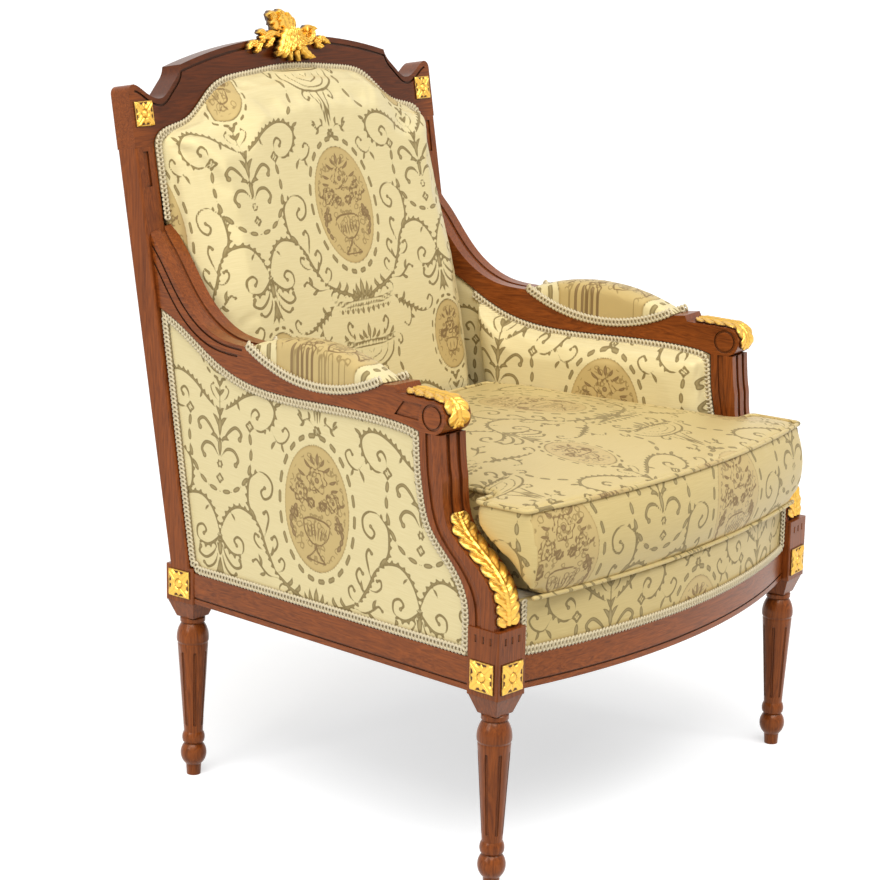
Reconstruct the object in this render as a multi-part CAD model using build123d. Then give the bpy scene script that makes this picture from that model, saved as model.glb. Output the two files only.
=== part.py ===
from build123d import *
import os
from math import atan2, cos, degrees, hypot, radians, sin, tan

# Closed-arm upholstered armchair: show-wood frame, gilt carving, sprung seat, loose cushion.
# Millimetres, +Z up, the front of the chair faces -Y. Pieces are built for the right side (+X)
# and mirrored for the left one.

# Plan of the frame
FRONT_LEG_SPACING = 670.0
REAR_LEG_SPACING = 578.0
FRONT_LEG_Y = -306.0
REAR_LEG_Y = 237.0
BLOCK_SIDE = 50.0
FRONT_BOW = 48.0

# Heights above the floor
BLOCK_BOTTOM = 250.0
FRONT_BLOCK_TOP = 335.0
REAR_BLOCK_TOP = 300.0
RAIL_BOTTOM = 252.0
RAIL_LEDGE = 294.0
RAIL_TOP = 330.0
DECK_TOP = 364.0
CUSHION_WELT_HEIGHT = 112.0
CUSHION_CROWN = 16.0

# Turned leg, as radii and heights
FOOT_RADIUS = 9.5
PEG_HEIGHT = 15.0
PEG_TOP_RADIUS = 10.5
BALL_RADIUS = 17.5
BALL_TOP = 45.0
RING_RADIUS = 14.6
RING_TOP = 62.0
SHAFT_FOOT_RADIUS = 12.8
SHAFT_TOP_RADIUS = 20.6
SHAFT_TOP = 187.0
BULB_RADIUS = 21.6
BULB_BOTTOM = 192.0
NECK_RADIUS = 15.0
NECK_BOTTOM = 217.0
NECK_RING_RADIUS = 17.0
NECK_TOP = 226.0
FLUTE_COUNT = 7
FLUTE_RADIUS = 1.9
FLUTE_END_GAP = 11.0

# Rails and joints
RAIL_THICKNESS = 33.0
RAIL_REBATE = 13.0
RAIL_SETBACK = 4.0
TENON_THICKNESS = 12.0
TENON_HEIGHT = 38.0
TENON_LENGTH = 20.0
TENON_OFFSET = 10.0
JOINT_CLEARANCE = 0.15
PIECE_GAP = 0.4
BRACE_LEG = 92.0
BRACE_BOTTOM = 262.0
BRACE_HEIGHT = 40.0
SCREW_RADIUS = 2.2
SCREW_HEAD_RADIUS = 4.4
SCREW_HEAD_HEIGHT = 2.6
SCREW_LENGTH = 46.0

# Back frame, in its own raked plane
BACK_RAKE = 9.2
BACK_REAR_FACE_Y = 254.6
STILE_WIDTH = 34.0
STILE_DEPTH = 34.0
STILE_LENGTH = 553.0
CREST_RISE = 132.0
CREST_SHOULDER_X = 213.0
CREST_SHOULDER_RISE = 103.0
CREST_LOW_X = 256.0
CREST_LOW_RISE = 61.0
CREST_EAR_RISE = 82.0
CREST_EDGE_RISE = 94.0
CREST_EDGE_SHOULDER_X = 196.0
CREST_EDGE_SHOULDER_RISE = 54.0
CREST_EDGE_LOW_X = 256.0
CREST_EDGE_LOW_RISE = 23.0
CREST_ROSETTE_RISE = 43.0
LOWER_RAIL_BOTTOM = 118.0
LOWER_RAIL_HEIGHT = 40.0
LOWER_RAIL_DEPTH = 11.0
LOWER_RAIL_REAR = 10.0

# Arm rail and arm post, along the side; drops and rises are from the step of the arm
ARM_WIDTH = 46.0
ARM_STEP = 150.0
ARM_STEP_HEIGHT = 607.0
ARM_UNDERSIDE_DROP = 42.0
ARM_CORE_WIDTH = 34.0
ARM_CORE_DROP = 6.0
ARM_PAD_FRONT = 172.0
ARM_PAD_REAR = 416.0
ARM_PAD_DIP_DROP = 29.0
ARM_PAD_RISE = 30.0
ARM_TOP_RISE = 176.0
ARM_TIP_OVERRUN = 9.0
ARM_LOW_RISE = 39.0
SCROLL_CENTRE = 89.0
SCROLL_DROP = 30.0
SCROLL_RADIUS = 20.0
POST_FOOT_FRONT = -16.0
POST_TOP_FRONT = 77.0
POST_TOP_REAR = 111.0
POST_TOP_DROP = 50.0
POST_LEAF_REACH = 0.572
POST_FIELD_WIDTH = 9.0
POST_FIELD_SETBACK = 15.0
POST_FLUTE_WIDTH = 7.0
POST_FLUTE_DEPTH = 3.0
POST_FLUTE_OFFSET = 9.0
MOULDING_DEPTH = 2.2
MOULDING_LINE = 3.0
STILE_FLUTE_WIDTH = 9.0

# Upholstery
GIMP_WIDTH = 10.0
GIMP_THICKNESS = 2.0
PANEL_THICKNESS = 10.0
PAD_BASE = 22.0
ARM_PAD_BULGE = 26.0
BACK_PAD_REAR = 24.0
BACK_PAD_BULGE = 80.0
BACK_FOOT = -40.0
BORDER_THICKNESS = 12.0
CUSHION_EAR_REACH = 43.5
CUSHION_FRONT_Y = -337.0
CUSHION_BOW = 36.0
CUSHION_EAR_REAR_Y = -255.0
CUSHION_REAR_Y = 149.0
CUSHION_ARM_GAP = 3.0
PIPING_RADIUS = 3.2
SPRING_COUNT = 5
SPRING_SPACING = 98.0
SPRING_WIRE_RADIUS = 1.8
SPRING_WIDTH = 60.0
SPRING_LOOP_RADIUS = 17.0
CLOTH_THICKNESS = 1.5

# Carving
LEG_ROSETTE_SIDE = 38.0
CREST_ROSETTE_SIDE = 33.0
ROSETTE_RELIEF = 5.0
ORNAMENT_RELIEF = 14.0
LEAF_THICKNESS = 7.0
LEAF_WIDTH = 36.0

# Heights that follow from those above
CREST_APEX = STILE_LENGTH + CREST_RISE
CREST_SHOULDER = STILE_LENGTH + CREST_SHOULDER_RISE
CREST_LOW = STILE_LENGTH + CREST_LOW_RISE
CREST_EAR = STILE_LENGTH + CREST_EAR_RISE
CREST_EDGE_APEX = STILE_LENGTH + CREST_EDGE_RISE
CREST_EDGE_SHOULDER = STILE_LENGTH + CREST_EDGE_SHOULDER_RISE
CREST_EDGE_LOW = STILE_LENGTH + CREST_EDGE_LOW_RISE
ARM_UNDERSIDE = ARM_STEP_HEIGHT - ARM_UNDERSIDE_DROP
ARM_CORE_TOP = ARM_STEP_HEIGHT - ARM_CORE_DROP
ARM_PAD_DIP = ARM_STEP_HEIGHT - ARM_PAD_DIP_DROP
ARM_PAD_TOP = ARM_STEP_HEIGHT + ARM_PAD_RISE
ARM_TOP_REAR = ARM_STEP_HEIGHT + ARM_TOP_RISE
ARM_LOW_REAR = ARM_STEP_HEIGHT + ARM_LOW_RISE
SCROLL_HEIGHT = ARM_STEP_HEIGHT - SCROLL_DROP
POST_TOP = ARM_STEP_HEIGHT - POST_TOP_DROP

os.makedirs("parts", exist_ok=True)

# Local frames: SIDE runs from the front leg to the rear leg with its third axis outwards;
# BACK lies on the rear face of the back frame with its third axis forwards.
side_run = REAR_LEG_Y - FRONT_LEG_Y
side_taper = (FRONT_LEG_SPACING - REAR_LEG_SPACING) / 2
SIDE_LENGTH = hypot(side_run, side_taper)
SIDE = Plane(
    origin=(FRONT_LEG_SPACING / 2, FRONT_LEG_Y, 0),
    x_dir=(-side_taper, side_run, 0),
    z_dir=(side_run, side_taper, 0),
)
rake = radians(BACK_RAKE)
BACK = Plane(
    origin=(0, BACK_REAR_FACE_Y, REAR_BLOCK_TOP),
    x_dir=(1, 0, 0),
    z_dir=(0, -cos(rake), sin(rake)),
)
HALF_BLOCK = BLOCK_SIDE / 2
HALF_ARM = ARM_WIDTH / 2
STILE_OUTER = REAR_LEG_SPACING / 2 + HALF_BLOCK
STILE_INNER = STILE_OUTER - STILE_WIDTH


def box(x0, x1, y0, y1, z0, z1):
    """Box between two corners."""
    return Pos((x0 + x1) / 2, (y0 + y1) / 2, (z0 + z1) / 2) * Box(x1 - x0, y1 - y0, z1 - z0)


def side_box(u0, u1, z0, z1, w0, w1):
    """Box in the SIDE frame: along the side, up, outwards."""
    return SIDE.location * box(u0, u1, z0, z1, w0, w1)


def back_box(x0, x1, v0, v1, w0, w1):
    """Box in the BACK frame: across, up the slope, forwards."""
    return BACK.location * box(x0, x1, v0, v1, w0, w1)


def slab(face, plane, low, high):
    """Extrude a face drawn in a local frame between two heights of that frame."""
    return plane.location * extrude(Pos(0, 0, low) * face, high - low, dir=(0, 0, 1))


def profile(*edges):
    """Face inside edges that join end to end."""
    return make_face(Wire(list(edges)))


def inset(face, amount):
    """The same face drawn in by some amount, its offset curves redrawn as plain splines."""
    edges = []
    for edge in offset(face, -amount).face().outer_wire().edges():
        if edge.geom_type in (GeomType.LINE, GeomType.CIRCLE):
            edges.append(edge)
        else:
            points = [edge @ (step / 16) for step in range(17)]
            edges.append(Spline(points, tangents=(edge % 0, edge % 1)))
    return profile(*edges)


def mirrored(shape):
    return mirror(shape, about=Plane.YZ)


def group(shapes):
    """One compound of separate solids."""
    solids = []
    for shape in shapes:
        solids.extend(shape.solids())
    return Compound(solids)


def save(name, shape):
    export_step(shape, f"parts/{name}.step")


def save_pair(name, shape):
    save(f"{name}_right", shape)
    save(f"{name}_left", mirrored(shape))


# Legs: one turned profile for all four, with flutes cut along the tapered shaft.
def turned_leg():
    outline = [
        Line((0, 0), (FOOT_RADIUS, 0)),
        Line((FOOT_RADIUS, 0), (PEG_TOP_RADIUS, PEG_HEIGHT)),
        ThreePointArc(
            (PEG_TOP_RADIUS, PEG_HEIGHT),
            (BALL_RADIUS, (PEG_HEIGHT + BALL_TOP) / 2 + 3),
            (SHAFT_FOOT_RADIUS - 0.6, BALL_TOP),
        ),
        Line((SHAFT_FOOT_RADIUS - 0.6, BALL_TOP), (RING_RADIUS, BALL_TOP + 3)),
        ThreePointArc(
            (RING_RADIUS, BALL_TOP + 3),
            (RING_RADIUS + 0.8, (BALL_TOP + RING_TOP) / 2),
            (SHAFT_FOOT_RADIUS, RING_TOP),
        ),
        Line((SHAFT_FOOT_RADIUS, RING_TOP), (SHAFT_TOP_RADIUS, SHAFT_TOP)),
        Line((SHAFT_TOP_RADIUS, SHAFT_TOP), (BULB_RADIUS - 1.4, SHAFT_TOP + 2)),
        Line((BULB_RADIUS - 1.4, SHAFT_TOP + 2), (BULB_RADIUS, BULB_BOTTOM)),
        ThreePointArc(
            (BULB_RADIUS, BULB_BOTTOM),
            (BULB_RADIUS - 1.4, (BULB_BOTTOM + NECK_BOTTOM) / 2 + 2),
            (NECK_RADIUS, NECK_BOTTOM),
        ),
        Line((NECK_RADIUS, NECK_BOTTOM), (NECK_RING_RADIUS, NECK_BOTTOM + 2)),
        Line((NECK_RING_RADIUS, NECK_BOTTOM + 2), (NECK_RING_RADIUS, NECK_TOP - 2)),
        Line((NECK_RING_RADIUS, NECK_TOP - 2), (NECK_RADIUS, NECK_TOP)),
        Line((NECK_RADIUS, NECK_TOP), (NECK_RADIUS, BLOCK_BOTTOM)),
        Line((NECK_RADIUS, BLOCK_BOTTOM), (0, BLOCK_BOTTOM)),
        Line((0, BLOCK_BOTTOM), (0, 0)),
    ]
    leg = revolve(Plane.XZ.location * profile(*outline), Axis.Z)
    slope = (SHAFT_TOP_RADIUS - SHAFT_FOOT_RADIUS) / (SHAFT_TOP - RING_TOP)
    flute_low = RING_TOP + FLUTE_END_GAP
    flute_high = SHAFT_TOP - FLUTE_END_GAP
    low = Vector(SHAFT_FOOT_RADIUS + slope * FLUTE_END_GAP, 0, flute_low)
    high = Vector(SHAFT_TOP_RADIUS - slope * FLUTE_END_GAP, 0, flute_high)
    run = high - low
    bar = Plane(origin=low, z_dir=run).location * Cylinder(
        FLUTE_RADIUS, run.length, align=(Align.CENTER, Align.CENTER, Align.MIN)
    )
    cutter = bar + Pos(*low) * Sphere(FLUTE_RADIUS) + Pos(*high) * Sphere(FLUTE_RADIUS)
    for turn in range(FLUTE_COUNT):
        leg -= Rot(0, 0, 360 / FLUTE_COUNT * turn) * cutter
    return leg


def leg_block(top):
    """Square block with its underside drawn in to the neck."""
    height = top - BLOCK_BOTTOM
    block = Pos(0, 0, BLOCK_BOTTOM + height / 2) * Box(BLOCK_SIDE, BLOCK_SIDE, height)
    block = chamfer(block.edges().filter_by(Axis.Z), 1.2)
    drop = BLOCK_BOTTOM - NECK_TOP
    draw_in = degrees(atan2(HALF_BLOCK - 1.5 - NECK_RADIUS, drop))
    foot = extrude(Rectangle(BLOCK_SIDE - 3, BLOCK_SIDE - 3), -drop, taper=draw_in)
    return block + Pos(0, 0, BLOCK_BOTTOM) * foot


LEG = turned_leg()


# Tenons: prisms on the rail ends; their mortises are the same prisms grown by the clearance.
def side_tenon(u0, u1, grow=0.0):
    return side_box(
        u0 - grow,
        u1 + grow,
        RAIL_TOP - 16 - TENON_HEIGHT - grow,
        RAIL_TOP - 16 + grow,
        TENON_OFFSET - TENON_THICKNESS / 2 - grow,
        TENON_OFFSET + TENON_THICKNESS / 2 + grow,
    )


def cross_tenon(x0, x1, y, grow=0.0):
    return box(
        x0 - grow,
        x1 + grow,
        y - TENON_THICKNESS / 2 - grow,
        y + TENON_THICKNESS / 2 + grow,
        RAIL_TOP - 16 - TENON_HEIGHT - grow,
        RAIL_TOP - 16 + grow,
    )


FRONT_TENON_Y = FRONT_LEG_Y + 2
REAR_TENON_Y = REAR_LEG_Y + TENON_OFFSET
FRONT_INNER_X = FRONT_LEG_SPACING / 2 - HALF_BLOCK
REAR_INNER_X = REAR_LEG_SPACING / 2 - HALF_BLOCK
front_side_tenon = (HALF_BLOCK - TENON_LENGTH, HALF_BLOCK + 4)
rear_side_tenon = (SIDE_LENGTH - HALF_BLOCK - 4, SIDE_LENGTH - HALF_BLOCK + TENON_LENGTH)
front_cross_tenon = (FRONT_INNER_X - 8, FRONT_INNER_X + TENON_LENGTH, FRONT_TENON_Y)
rear_cross_tenon = (REAR_INNER_X - 4, REAR_INNER_X + TENON_LENGTH, REAR_TENON_Y)

# Arm post, arm rail and the opening between them, as curves in the SIDE frame (u, z)
POST_FOOT_REAR = HALF_BLOCK


def up_post(share):
    """Height of a share of the way up the arm post."""
    return FRONT_BLOCK_TOP + share * (POST_TOP - FRONT_BLOCK_TOP)


post_front_curve = Spline(
    (POST_FOOT_FRONT, FRONT_BLOCK_TOP),
    (POST_FOOT_FRONT + 7, up_post(0.203)),
    (POST_FOOT_FRONT + 47, up_post(0.383)),
    (POST_TOP_FRONT - 12, up_post(0.545)),
    (POST_TOP_FRONT - 6, up_post(0.743)),
    (POST_TOP_FRONT, POST_TOP),
    tangents=((0, 1), (0.06, 1)),
)
post_rear_curve = Spline(
    (POST_FOOT_REAR, FRONT_BLOCK_TOP),
    (POST_FOOT_REAR + 6, up_post(0.171)),
    (POST_FOOT_REAR + 33, up_post(0.338)),
    (POST_TOP_REAR - 19, up_post(0.509)),
    (POST_TOP_REAR - 6, up_post(0.721)),
    (POST_TOP_REAR, POST_TOP),
    tangents=((0, 1), (0.06, 1)),
)


def stile_u(z, forward=0.0):
    """Where the front of the stile, moved forward by some amount, crosses the side's centre plane."""
    rise = z - REAR_BLOCK_TOP
    y = BACK_REAR_FACE_Y + rise * tan(rake) - (STILE_DEPTH + forward) / cos(rake)
    return (y - FRONT_LEG_Y) * SIDE_LENGTH / side_run


arm_low_curve = Spline(
    (POST_TOP_REAR, POST_TOP),
    (ARM_STEP, ARM_UNDERSIDE - 1),
    (ARM_PAD_REAR - 93, ARM_UNDERSIDE - 1),
    (ARM_PAD_REAR + 41, ARM_UNDERSIDE + 18),
    (stile_u(ARM_LOW_REAR) - 60, ARM_LOW_REAR - 27),
    (stile_u(ARM_LOW_REAR), ARM_LOW_REAR),
    tangents=((1, 0.35), (1, 0.35)),
)
arm_top_curve = Spline(
    (ARM_PAD_REAR, ARM_STEP_HEIGHT + 9),
    (ARM_PAD_REAR + 50, ARM_STEP_HEIGHT + 14),
    (stile_u(ARM_TOP_REAR) - 75, ARM_STEP_HEIGHT + 54),
    (stile_u(ARM_TOP_REAR) - 30, ARM_STEP_HEIGHT + 110),
    (stile_u(ARM_TOP_REAR) + ARM_TIP_OVERRUN, ARM_TOP_REAR),
    tangents=((1, 0.02), (0.3, 1)),
)
BEHIND_STILE = back_box(-500, 500, -200, 900, -300, STILE_DEPTH)


# Front legs
def front_leg():
    leg = SIDE.location * (Rot(-90, 0, 0) * (leg_block(FRONT_BLOCK_TOP) + LEG))
    leg -= side_tenon(*front_side_tenon, grow=JOINT_CLEARANCE)
    leg -= cross_tenon(*front_cross_tenon, grow=JOINT_CLEARANCE)
    leg -= post_spigot(JOINT_CLEARANCE)
    return leg - block_nicks()


def post_spigot(grow=0.0):
    """Round tenon under the arm post."""
    depth = 18 + grow
    centre = (POST_FOOT_FRONT + POST_FOOT_REAR) / 2 - 2
    spigot = Cylinder(7 + grow, depth, align=(Align.CENTER, Align.CENTER, Align.MAX))
    return SIDE.location * (Pos(centre, FRONT_BLOCK_TOP, 0) * Rot(-90, 0, 0) * spigot)


def block_nicks():
    """Three short gouge cuts above the rosette on the side and the front of the block."""
    nick = Pos(0, FRONT_BLOCK_TOP - 13, 0) * Box(2.6, 9, 2.6)
    cuts = []
    for step in (-1, 0, 1):
        cuts.append(Pos(step * 12, 0, HALF_BLOCK) * Rot(0, 45, 0) * nick)
        cuts.append(Pos(-HALF_BLOCK, 0, step * 12) * Rot(0, 45, 0) * nick)
    return SIDE.location * Compound(cuts)


# Arm post: sawn to a double curve, with a sunk field down each side and two flutes down the front
def arm_post():
    face = profile(
        post_front_curve,
        Line((POST_TOP_FRONT, POST_TOP), (POST_TOP_REAR, POST_TOP)),
        post_rear_curve,
        Line((POST_FOOT_REAR, FRONT_BLOCK_TOP), (POST_FOOT_FRONT, FRONT_BLOCK_TOP)),
    )
    post = slab(face, SIDE, -HALF_ARM, HALF_ARM)
    post += post_spigot()
    post += post_tenon()
    field = trace(Pos(-POST_FIELD_SETBACK, 0) * post_rear_curve, POST_FIELD_WIDTH)
    post -= slab(field, SIDE, HALF_ARM - MOULDING_DEPTH, HALF_ARM + 1)
    post -= slab(field, SIDE, -HALF_ARM - 1, -HALF_ARM + MOULDING_DEPTH)
    flute = trace(post_front_curve, 2 * POST_FLUTE_DEPTH)
    for offset in (-POST_FLUTE_OFFSET, POST_FLUTE_OFFSET):
        post -= slab(flute, SIDE, offset - POST_FLUTE_WIDTH / 2, offset + POST_FLUTE_WIDTH / 2)
    return post


def post_tenon(grow=0.0):
    """Square tenon on top of the arm post."""
    middle = (POST_TOP_FRONT + POST_TOP_REAR) / 2
    return side_box(
        middle - 9 - grow, middle + 9 + grow, POST_TOP, POST_TOP + 18 + grow, -8 - grow, 8 + grow
    )


# Arm rail: scroll in front, a scooped seat for the arm pad, swept up to the stile behind
arm_dip_curve = ThreePointArc(
    (ARM_PAD_FRONT, ARM_STEP_HEIGHT - 2),
    ((ARM_PAD_FRONT + ARM_PAD_REAR) / 2, ARM_PAD_DIP),
    (ARM_PAD_REAR, ARM_STEP_HEIGHT + 9),
)


def arm_rail():
    beyond = stile_u(ARM_TOP_REAR) + ARM_TIP_OVERRUN
    scroll_top = (SCROLL_CENTRE + 4, SCROLL_HEIGHT + SCROLL_RADIUS - 0.4)
    face = profile(
        arm_low_curve,
        Line((stile_u(ARM_LOW_REAR), ARM_LOW_REAR), (beyond + 6, ARM_LOW_REAR)),
        Line((beyond + 6, ARM_LOW_REAR), (beyond + 6, ARM_TOP_REAR)),
        Line((beyond + 6, ARM_TOP_REAR), (beyond, ARM_TOP_REAR)),
        arm_top_curve,
        arm_dip_curve,
        Line((ARM_PAD_FRONT, ARM_STEP_HEIGHT - 2), (ARM_STEP + 4, ARM_STEP_HEIGHT)),
        Line((ARM_STEP + 4, ARM_STEP_HEIGHT), (ARM_STEP, ARM_STEP_HEIGHT - 8)),
        Line((ARM_STEP, ARM_STEP_HEIGHT - 8), scroll_top),
        ThreePointArc(
            scroll_top,
            (SCROLL_CENTRE - SCROLL_RADIUS, SCROLL_HEIGHT),
            (POST_TOP_FRONT + 8, POST_TOP),
        ),
        Line((POST_TOP_FRONT + 8, POST_TOP), (POST_TOP_REAR, POST_TOP)),
    )
    rail = slab(face, SIDE, -HALF_ARM, HALF_ARM)
    rail += arm_core()
    rail -= BEHIND_STILE
    rail += arm_tenon()
    rail -= post_tenon(JOINT_CLEARANCE)
    rail -= arm_dowel(JOINT_CLEARANCE)
    rail -= sweep_mouldings()
    rail -= slab(
        trace(arm_top_curve, 2 * MOULDING_DEPTH), SIDE, -STILE_FLUTE_WIDTH / 2, STILE_FLUTE_WIDTH / 2
    )
    rail -= scroll_field()
    return rail - scroll_eye(SCROLL_RADIUS - 3.6, SCROLL_RADIUS - 6.8)


def sweep_mouldings():
    """Two lines along the sweep on the outside of the arm, with a roll left between them."""
    cuts = []
    for setback in (7, 19):
        line = trace(Pos(0.75 * setback, -0.75 * setback) * arm_top_curve, MOULDING_LINE)
        cuts.append(slab(line, SIDE, HALF_ARM - MOULDING_DEPTH, HALF_ARM + 1))
    return Compound(cuts) - BEHIND_STILE


def scroll_field():
    """Sunk field on the outside of the arm, from the step to the scroll."""
    front = SCROLL_CENTRE + SCROLL_RADIUS
    low = ARM_UNDERSIDE + 5
    high = SCROLL_HEIGHT + SCROLL_RADIUS - 7
    field = profile(
        Line((front + 3, low), (ARM_STEP + 2, low + 2)),
        Line((ARM_STEP + 2, low + 2), (ARM_STEP - 12, high)),
        Line((ARM_STEP - 12, high), (front - 2, high)),
        ThreePointArc((front - 2, high), (front + 2.5, (low + high) / 2), (front + 3, low)),
    )
    return slab(field, SIDE, HALF_ARM - MOULDING_DEPTH, HALF_ARM + 1)


def arm_core():
    """The timber that stays full height under the arm pad."""
    return side_box(
        ARM_PAD_FRONT + 8,
        ARM_PAD_REAR - 12,
        ARM_PAD_DIP - 8,
        ARM_CORE_TOP,
        -ARM_CORE_WIDTH / 2,
        ARM_CORE_WIDTH / 2,
    )


def arm_tenon(grow=0.0):
    """Tenon of the arm rail into the stile, cut to the stile's own slope."""
    low = (ARM_LOW_REAR - REAR_BLOCK_TOP) / cos(rake) + 21
    return back_box(
        STILE_INNER + 10 - grow,
        STILE_INNER + 22 + grow,
        low - grow,
        low + 52 + grow,
        STILE_DEPTH - 16 - grow,
        STILE_DEPTH + 3,
    )


def scroll_eye(outer, inner):
    """Ring cut round the raised eye on both sides of the scroll."""
    ring = Cylinder(outer, 3.2) - Cylinder(inner, 4)
    eye = Pos(SCROLL_CENTRE + 1, SCROLL_HEIGHT, 0)
    cuts = [Pos(0, 0, sign * HALF_ARM) * eye * ring for sign in (-1, 1)]
    return SIDE.location * Compound(cuts)


def arm_dowel(grow=0.0):
    """Peg that pins the post tenon inside the arm rail."""
    middle = (POST_TOP_FRONT + POST_TOP_REAR) / 2
    peg = Cylinder(3 + grow, 30 + 2 * grow)
    return SIDE.location * (Pos(middle, POST_TOP + 9, 0) * peg)


# Rear posts: turned leg, block and raked stile in one timber
def stile_tenon(grow=0.0):
    """Tenon on top of the stile, up into the crest rail."""
    return back_box(
        STILE_INNER + 9 - grow,
        STILE_OUTER - 9 + grow,
        STILE_LENGTH,
        STILE_LENGTH + 24 + grow,
        11 - grow,
        STILE_DEPTH - 11 + grow,
    )


def lower_rail_tenon(grow=0.0):
    return back_box(
        STILE_INNER - 4 - grow,
        STILE_INNER + 18 + grow,
        LOWER_RAIL_BOTTOM + 6 - grow,
        LOWER_RAIL_BOTTOM + LOWER_RAIL_HEIGHT - 6 + grow,
        LOWER_RAIL_REAR + 2 - grow,
        LOWER_RAIL_REAR + LOWER_RAIL_DEPTH - 2 + grow,
    )


def rear_post():
    foot = Pos(REAR_LEG_SPACING / 2, REAR_LEG_Y, 0) * (leg_block(REAR_BLOCK_TOP) + LEG)
    stile = box(STILE_INNER, STILE_OUTER, -38, STILE_LENGTH, 0, STILE_DEPTH)
    stile = fillet(stile.edges().filter_by(Axis.Y).group_by(Axis.X)[-1], 3.0)
    post = foot + BACK.location * stile + stile_tenon()
    post -= side_tenon(*rear_side_tenon, grow=JOINT_CLEARANCE)
    post -= cross_tenon(*rear_cross_tenon, grow=JOINT_CLEARANCE)
    post -= arm_tenon(JOINT_CLEARANCE)
    post -= stile_flute()
    return post - lower_rail_tenon(JOINT_CLEARANCE)


def stile_flute():
    """Hollow down the front of the stile, from the crest to the sweep of the arm."""
    middle = (STILE_INNER + STILE_OUTER) / 2
    arm_end = (ARM_TOP_REAR - REAR_BLOCK_TOP) / cos(rake)
    return back_box(
        middle - STILE_FLUTE_WIDTH / 2,
        middle + STILE_FLUTE_WIDTH / 2,
        arm_end + 12,
        STILE_LENGTH - 6,
        STILE_DEPTH - MOULDING_DEPTH,
        STILE_DEPTH + 1,
    )


# Seat rails
RAIL_OUTER = HALF_BLOCK - RAIL_SETBACK
RAIL_INNER = RAIL_OUTER - RAIL_THICKNESS


def side_rail():
    front = HALF_BLOCK
    rear = SIDE_LENGTH
    rail = side_box(front, rear, RAIL_BOTTOM, RAIL_LEDGE, RAIL_INNER, RAIL_OUTER)
    rail += side_box(front, rear, RAIL_LEDGE, RAIL_TOP, RAIL_INNER, RAIL_OUTER - RAIL_REBATE)
    bead = side_box(front, rear, RAIL_BOTTOM + 7, RAIL_BOTTOM + 9.4, RAIL_OUTER - 1.6, RAIL_OUTER + 1)
    rail -= bead
    rail -= box(
        REAR_INNER_X - 30, 500, REAR_LEG_Y - HALF_BLOCK, 500, RAIL_BOTTOM - 10, RAIL_TOP + 10
    )
    rail += side_tenon(*front_side_tenon) + side_tenon(*rear_side_tenon)
    rebate = side_box(
        HALF_BLOCK, stile_u(RAIL_LEDGE), RAIL_LEDGE, RAIL_TOP, RAIL_OUTER - RAIL_REBATE, RAIL_OUTER
    )
    return rail - rebate


bow_half = FRONT_INNER_X
BOW_RADIUS = (bow_half**2 + FRONT_BOW**2) / (2 * FRONT_BOW)
BOW_FRONT_Y = FRONT_LEG_Y - HALF_BLOCK + RAIL_SETBACK + 4 - FRONT_BOW


def bow_ring(outer, inner, z0, z1):
    """Bowed strip: part of a ring between two set-backs from the front of the bow."""
    centre_y = BOW_FRONT_Y + BOW_RADIUS
    ring = Cylinder(BOW_RADIUS - outer, z1 - z0) - Cylinder(BOW_RADIUS - inner, z1 - z0 + 2)
    ring = Pos(0, centre_y, (z0 + z1) / 2) * ring
    return ring & box(-bow_half - 80, bow_half + 80, -700, FRONT_LEG_Y + 80, z0, z1)


def between_front_blocks(gap=0.0):
    """Space between the inner faces of the two front leg blocks."""
    right = side_box(-200, 400, 200, 700, -1000, -HALF_BLOCK - gap)
    return right & mirrored(right)


def front_rail():
    rail = bow_ring(0, RAIL_THICKNESS, RAIL_BOTTOM, RAIL_LEDGE)
    rail += bow_ring(BORDER_THICKNESS + 1, RAIL_THICKNESS, RAIL_LEDGE, RAIL_TOP)
    rail -= bow_ring(-1, 1.6, RAIL_BOTTOM + 7, RAIL_BOTTOM + 9.4)
    rail &= between_front_blocks()
    tenon = cross_tenon(*front_cross_tenon)
    return rail + tenon + mirrored(tenon)


def rear_rail():
    lower = box(-REAR_INNER_X, REAR_INNER_X, REAR_LEG_Y - 8, REAR_TENON_Y + 8, RAIL_BOTTOM, RAIL_LEDGE)
    upper = box(-REAR_INNER_X, REAR_INNER_X, REAR_LEG_Y - 8, REAR_LEG_Y + 8, RAIL_LEDGE, RAIL_TOP)
    tenon = cross_tenon(*rear_cross_tenon) & box(0, 500, 0, 500, 0, REAR_BLOCK_TOP - 8)
    return lower + upper + tenon + mirrored(tenon)


# Corner braces and their screws
def corner(x, y, into_y):
    """Brace outline before the rails and legs are taken off it."""
    points = [(x, y), (x - BRACE_LEG - 40, y), (x, y + into_y * (BRACE_LEG + 40))]
    face = make_face(Polyline(*points, close=True))
    return extrude(Pos(0, 0, BRACE_BOTTOM) * face, BRACE_HEIGHT, dir=(0, 0, 1))


front_leg_right = front_leg()
rear_post_right = rear_post()
side_rail_right = side_rail()
front_seat_rail = front_rail()
rear_seat_rail = rear_rail()

front_brace = corner(FRONT_LEG_SPACING / 2, FRONT_LEG_Y - 10, 1)
front_brace -= side_box(-100, 700, 0, 700, RAIL_INNER, 100)
front_brace -= bow_ring(-60, RAIL_THICKNESS, BRACE_BOTTOM - 1, BRACE_BOTTOM + BRACE_HEIGHT + 1)
front_brace -= side_box(
    -HALF_BLOCK, HALF_BLOCK + PIECE_GAP, 0, 700, -HALF_BLOCK - PIECE_GAP, HALF_BLOCK
)
rear_brace = corner(REAR_LEG_SPACING / 2, REAR_LEG_Y - 8, -1)
rear_brace -= side_box(-100, 700, 0, 700, RAIL_INNER, 100)
rear_brace -= box(
    REAR_INNER_X - PIECE_GAP, 400, REAR_LEG_Y - HALF_BLOCK - PIECE_GAP, 400, 0, 700
)
front_brace = front_brace.solids().sort_by(SortBy.VOLUME)[-1]
rear_brace = rear_brace.solids().sort_by(SortBy.VOLUME)[-1]
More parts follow.
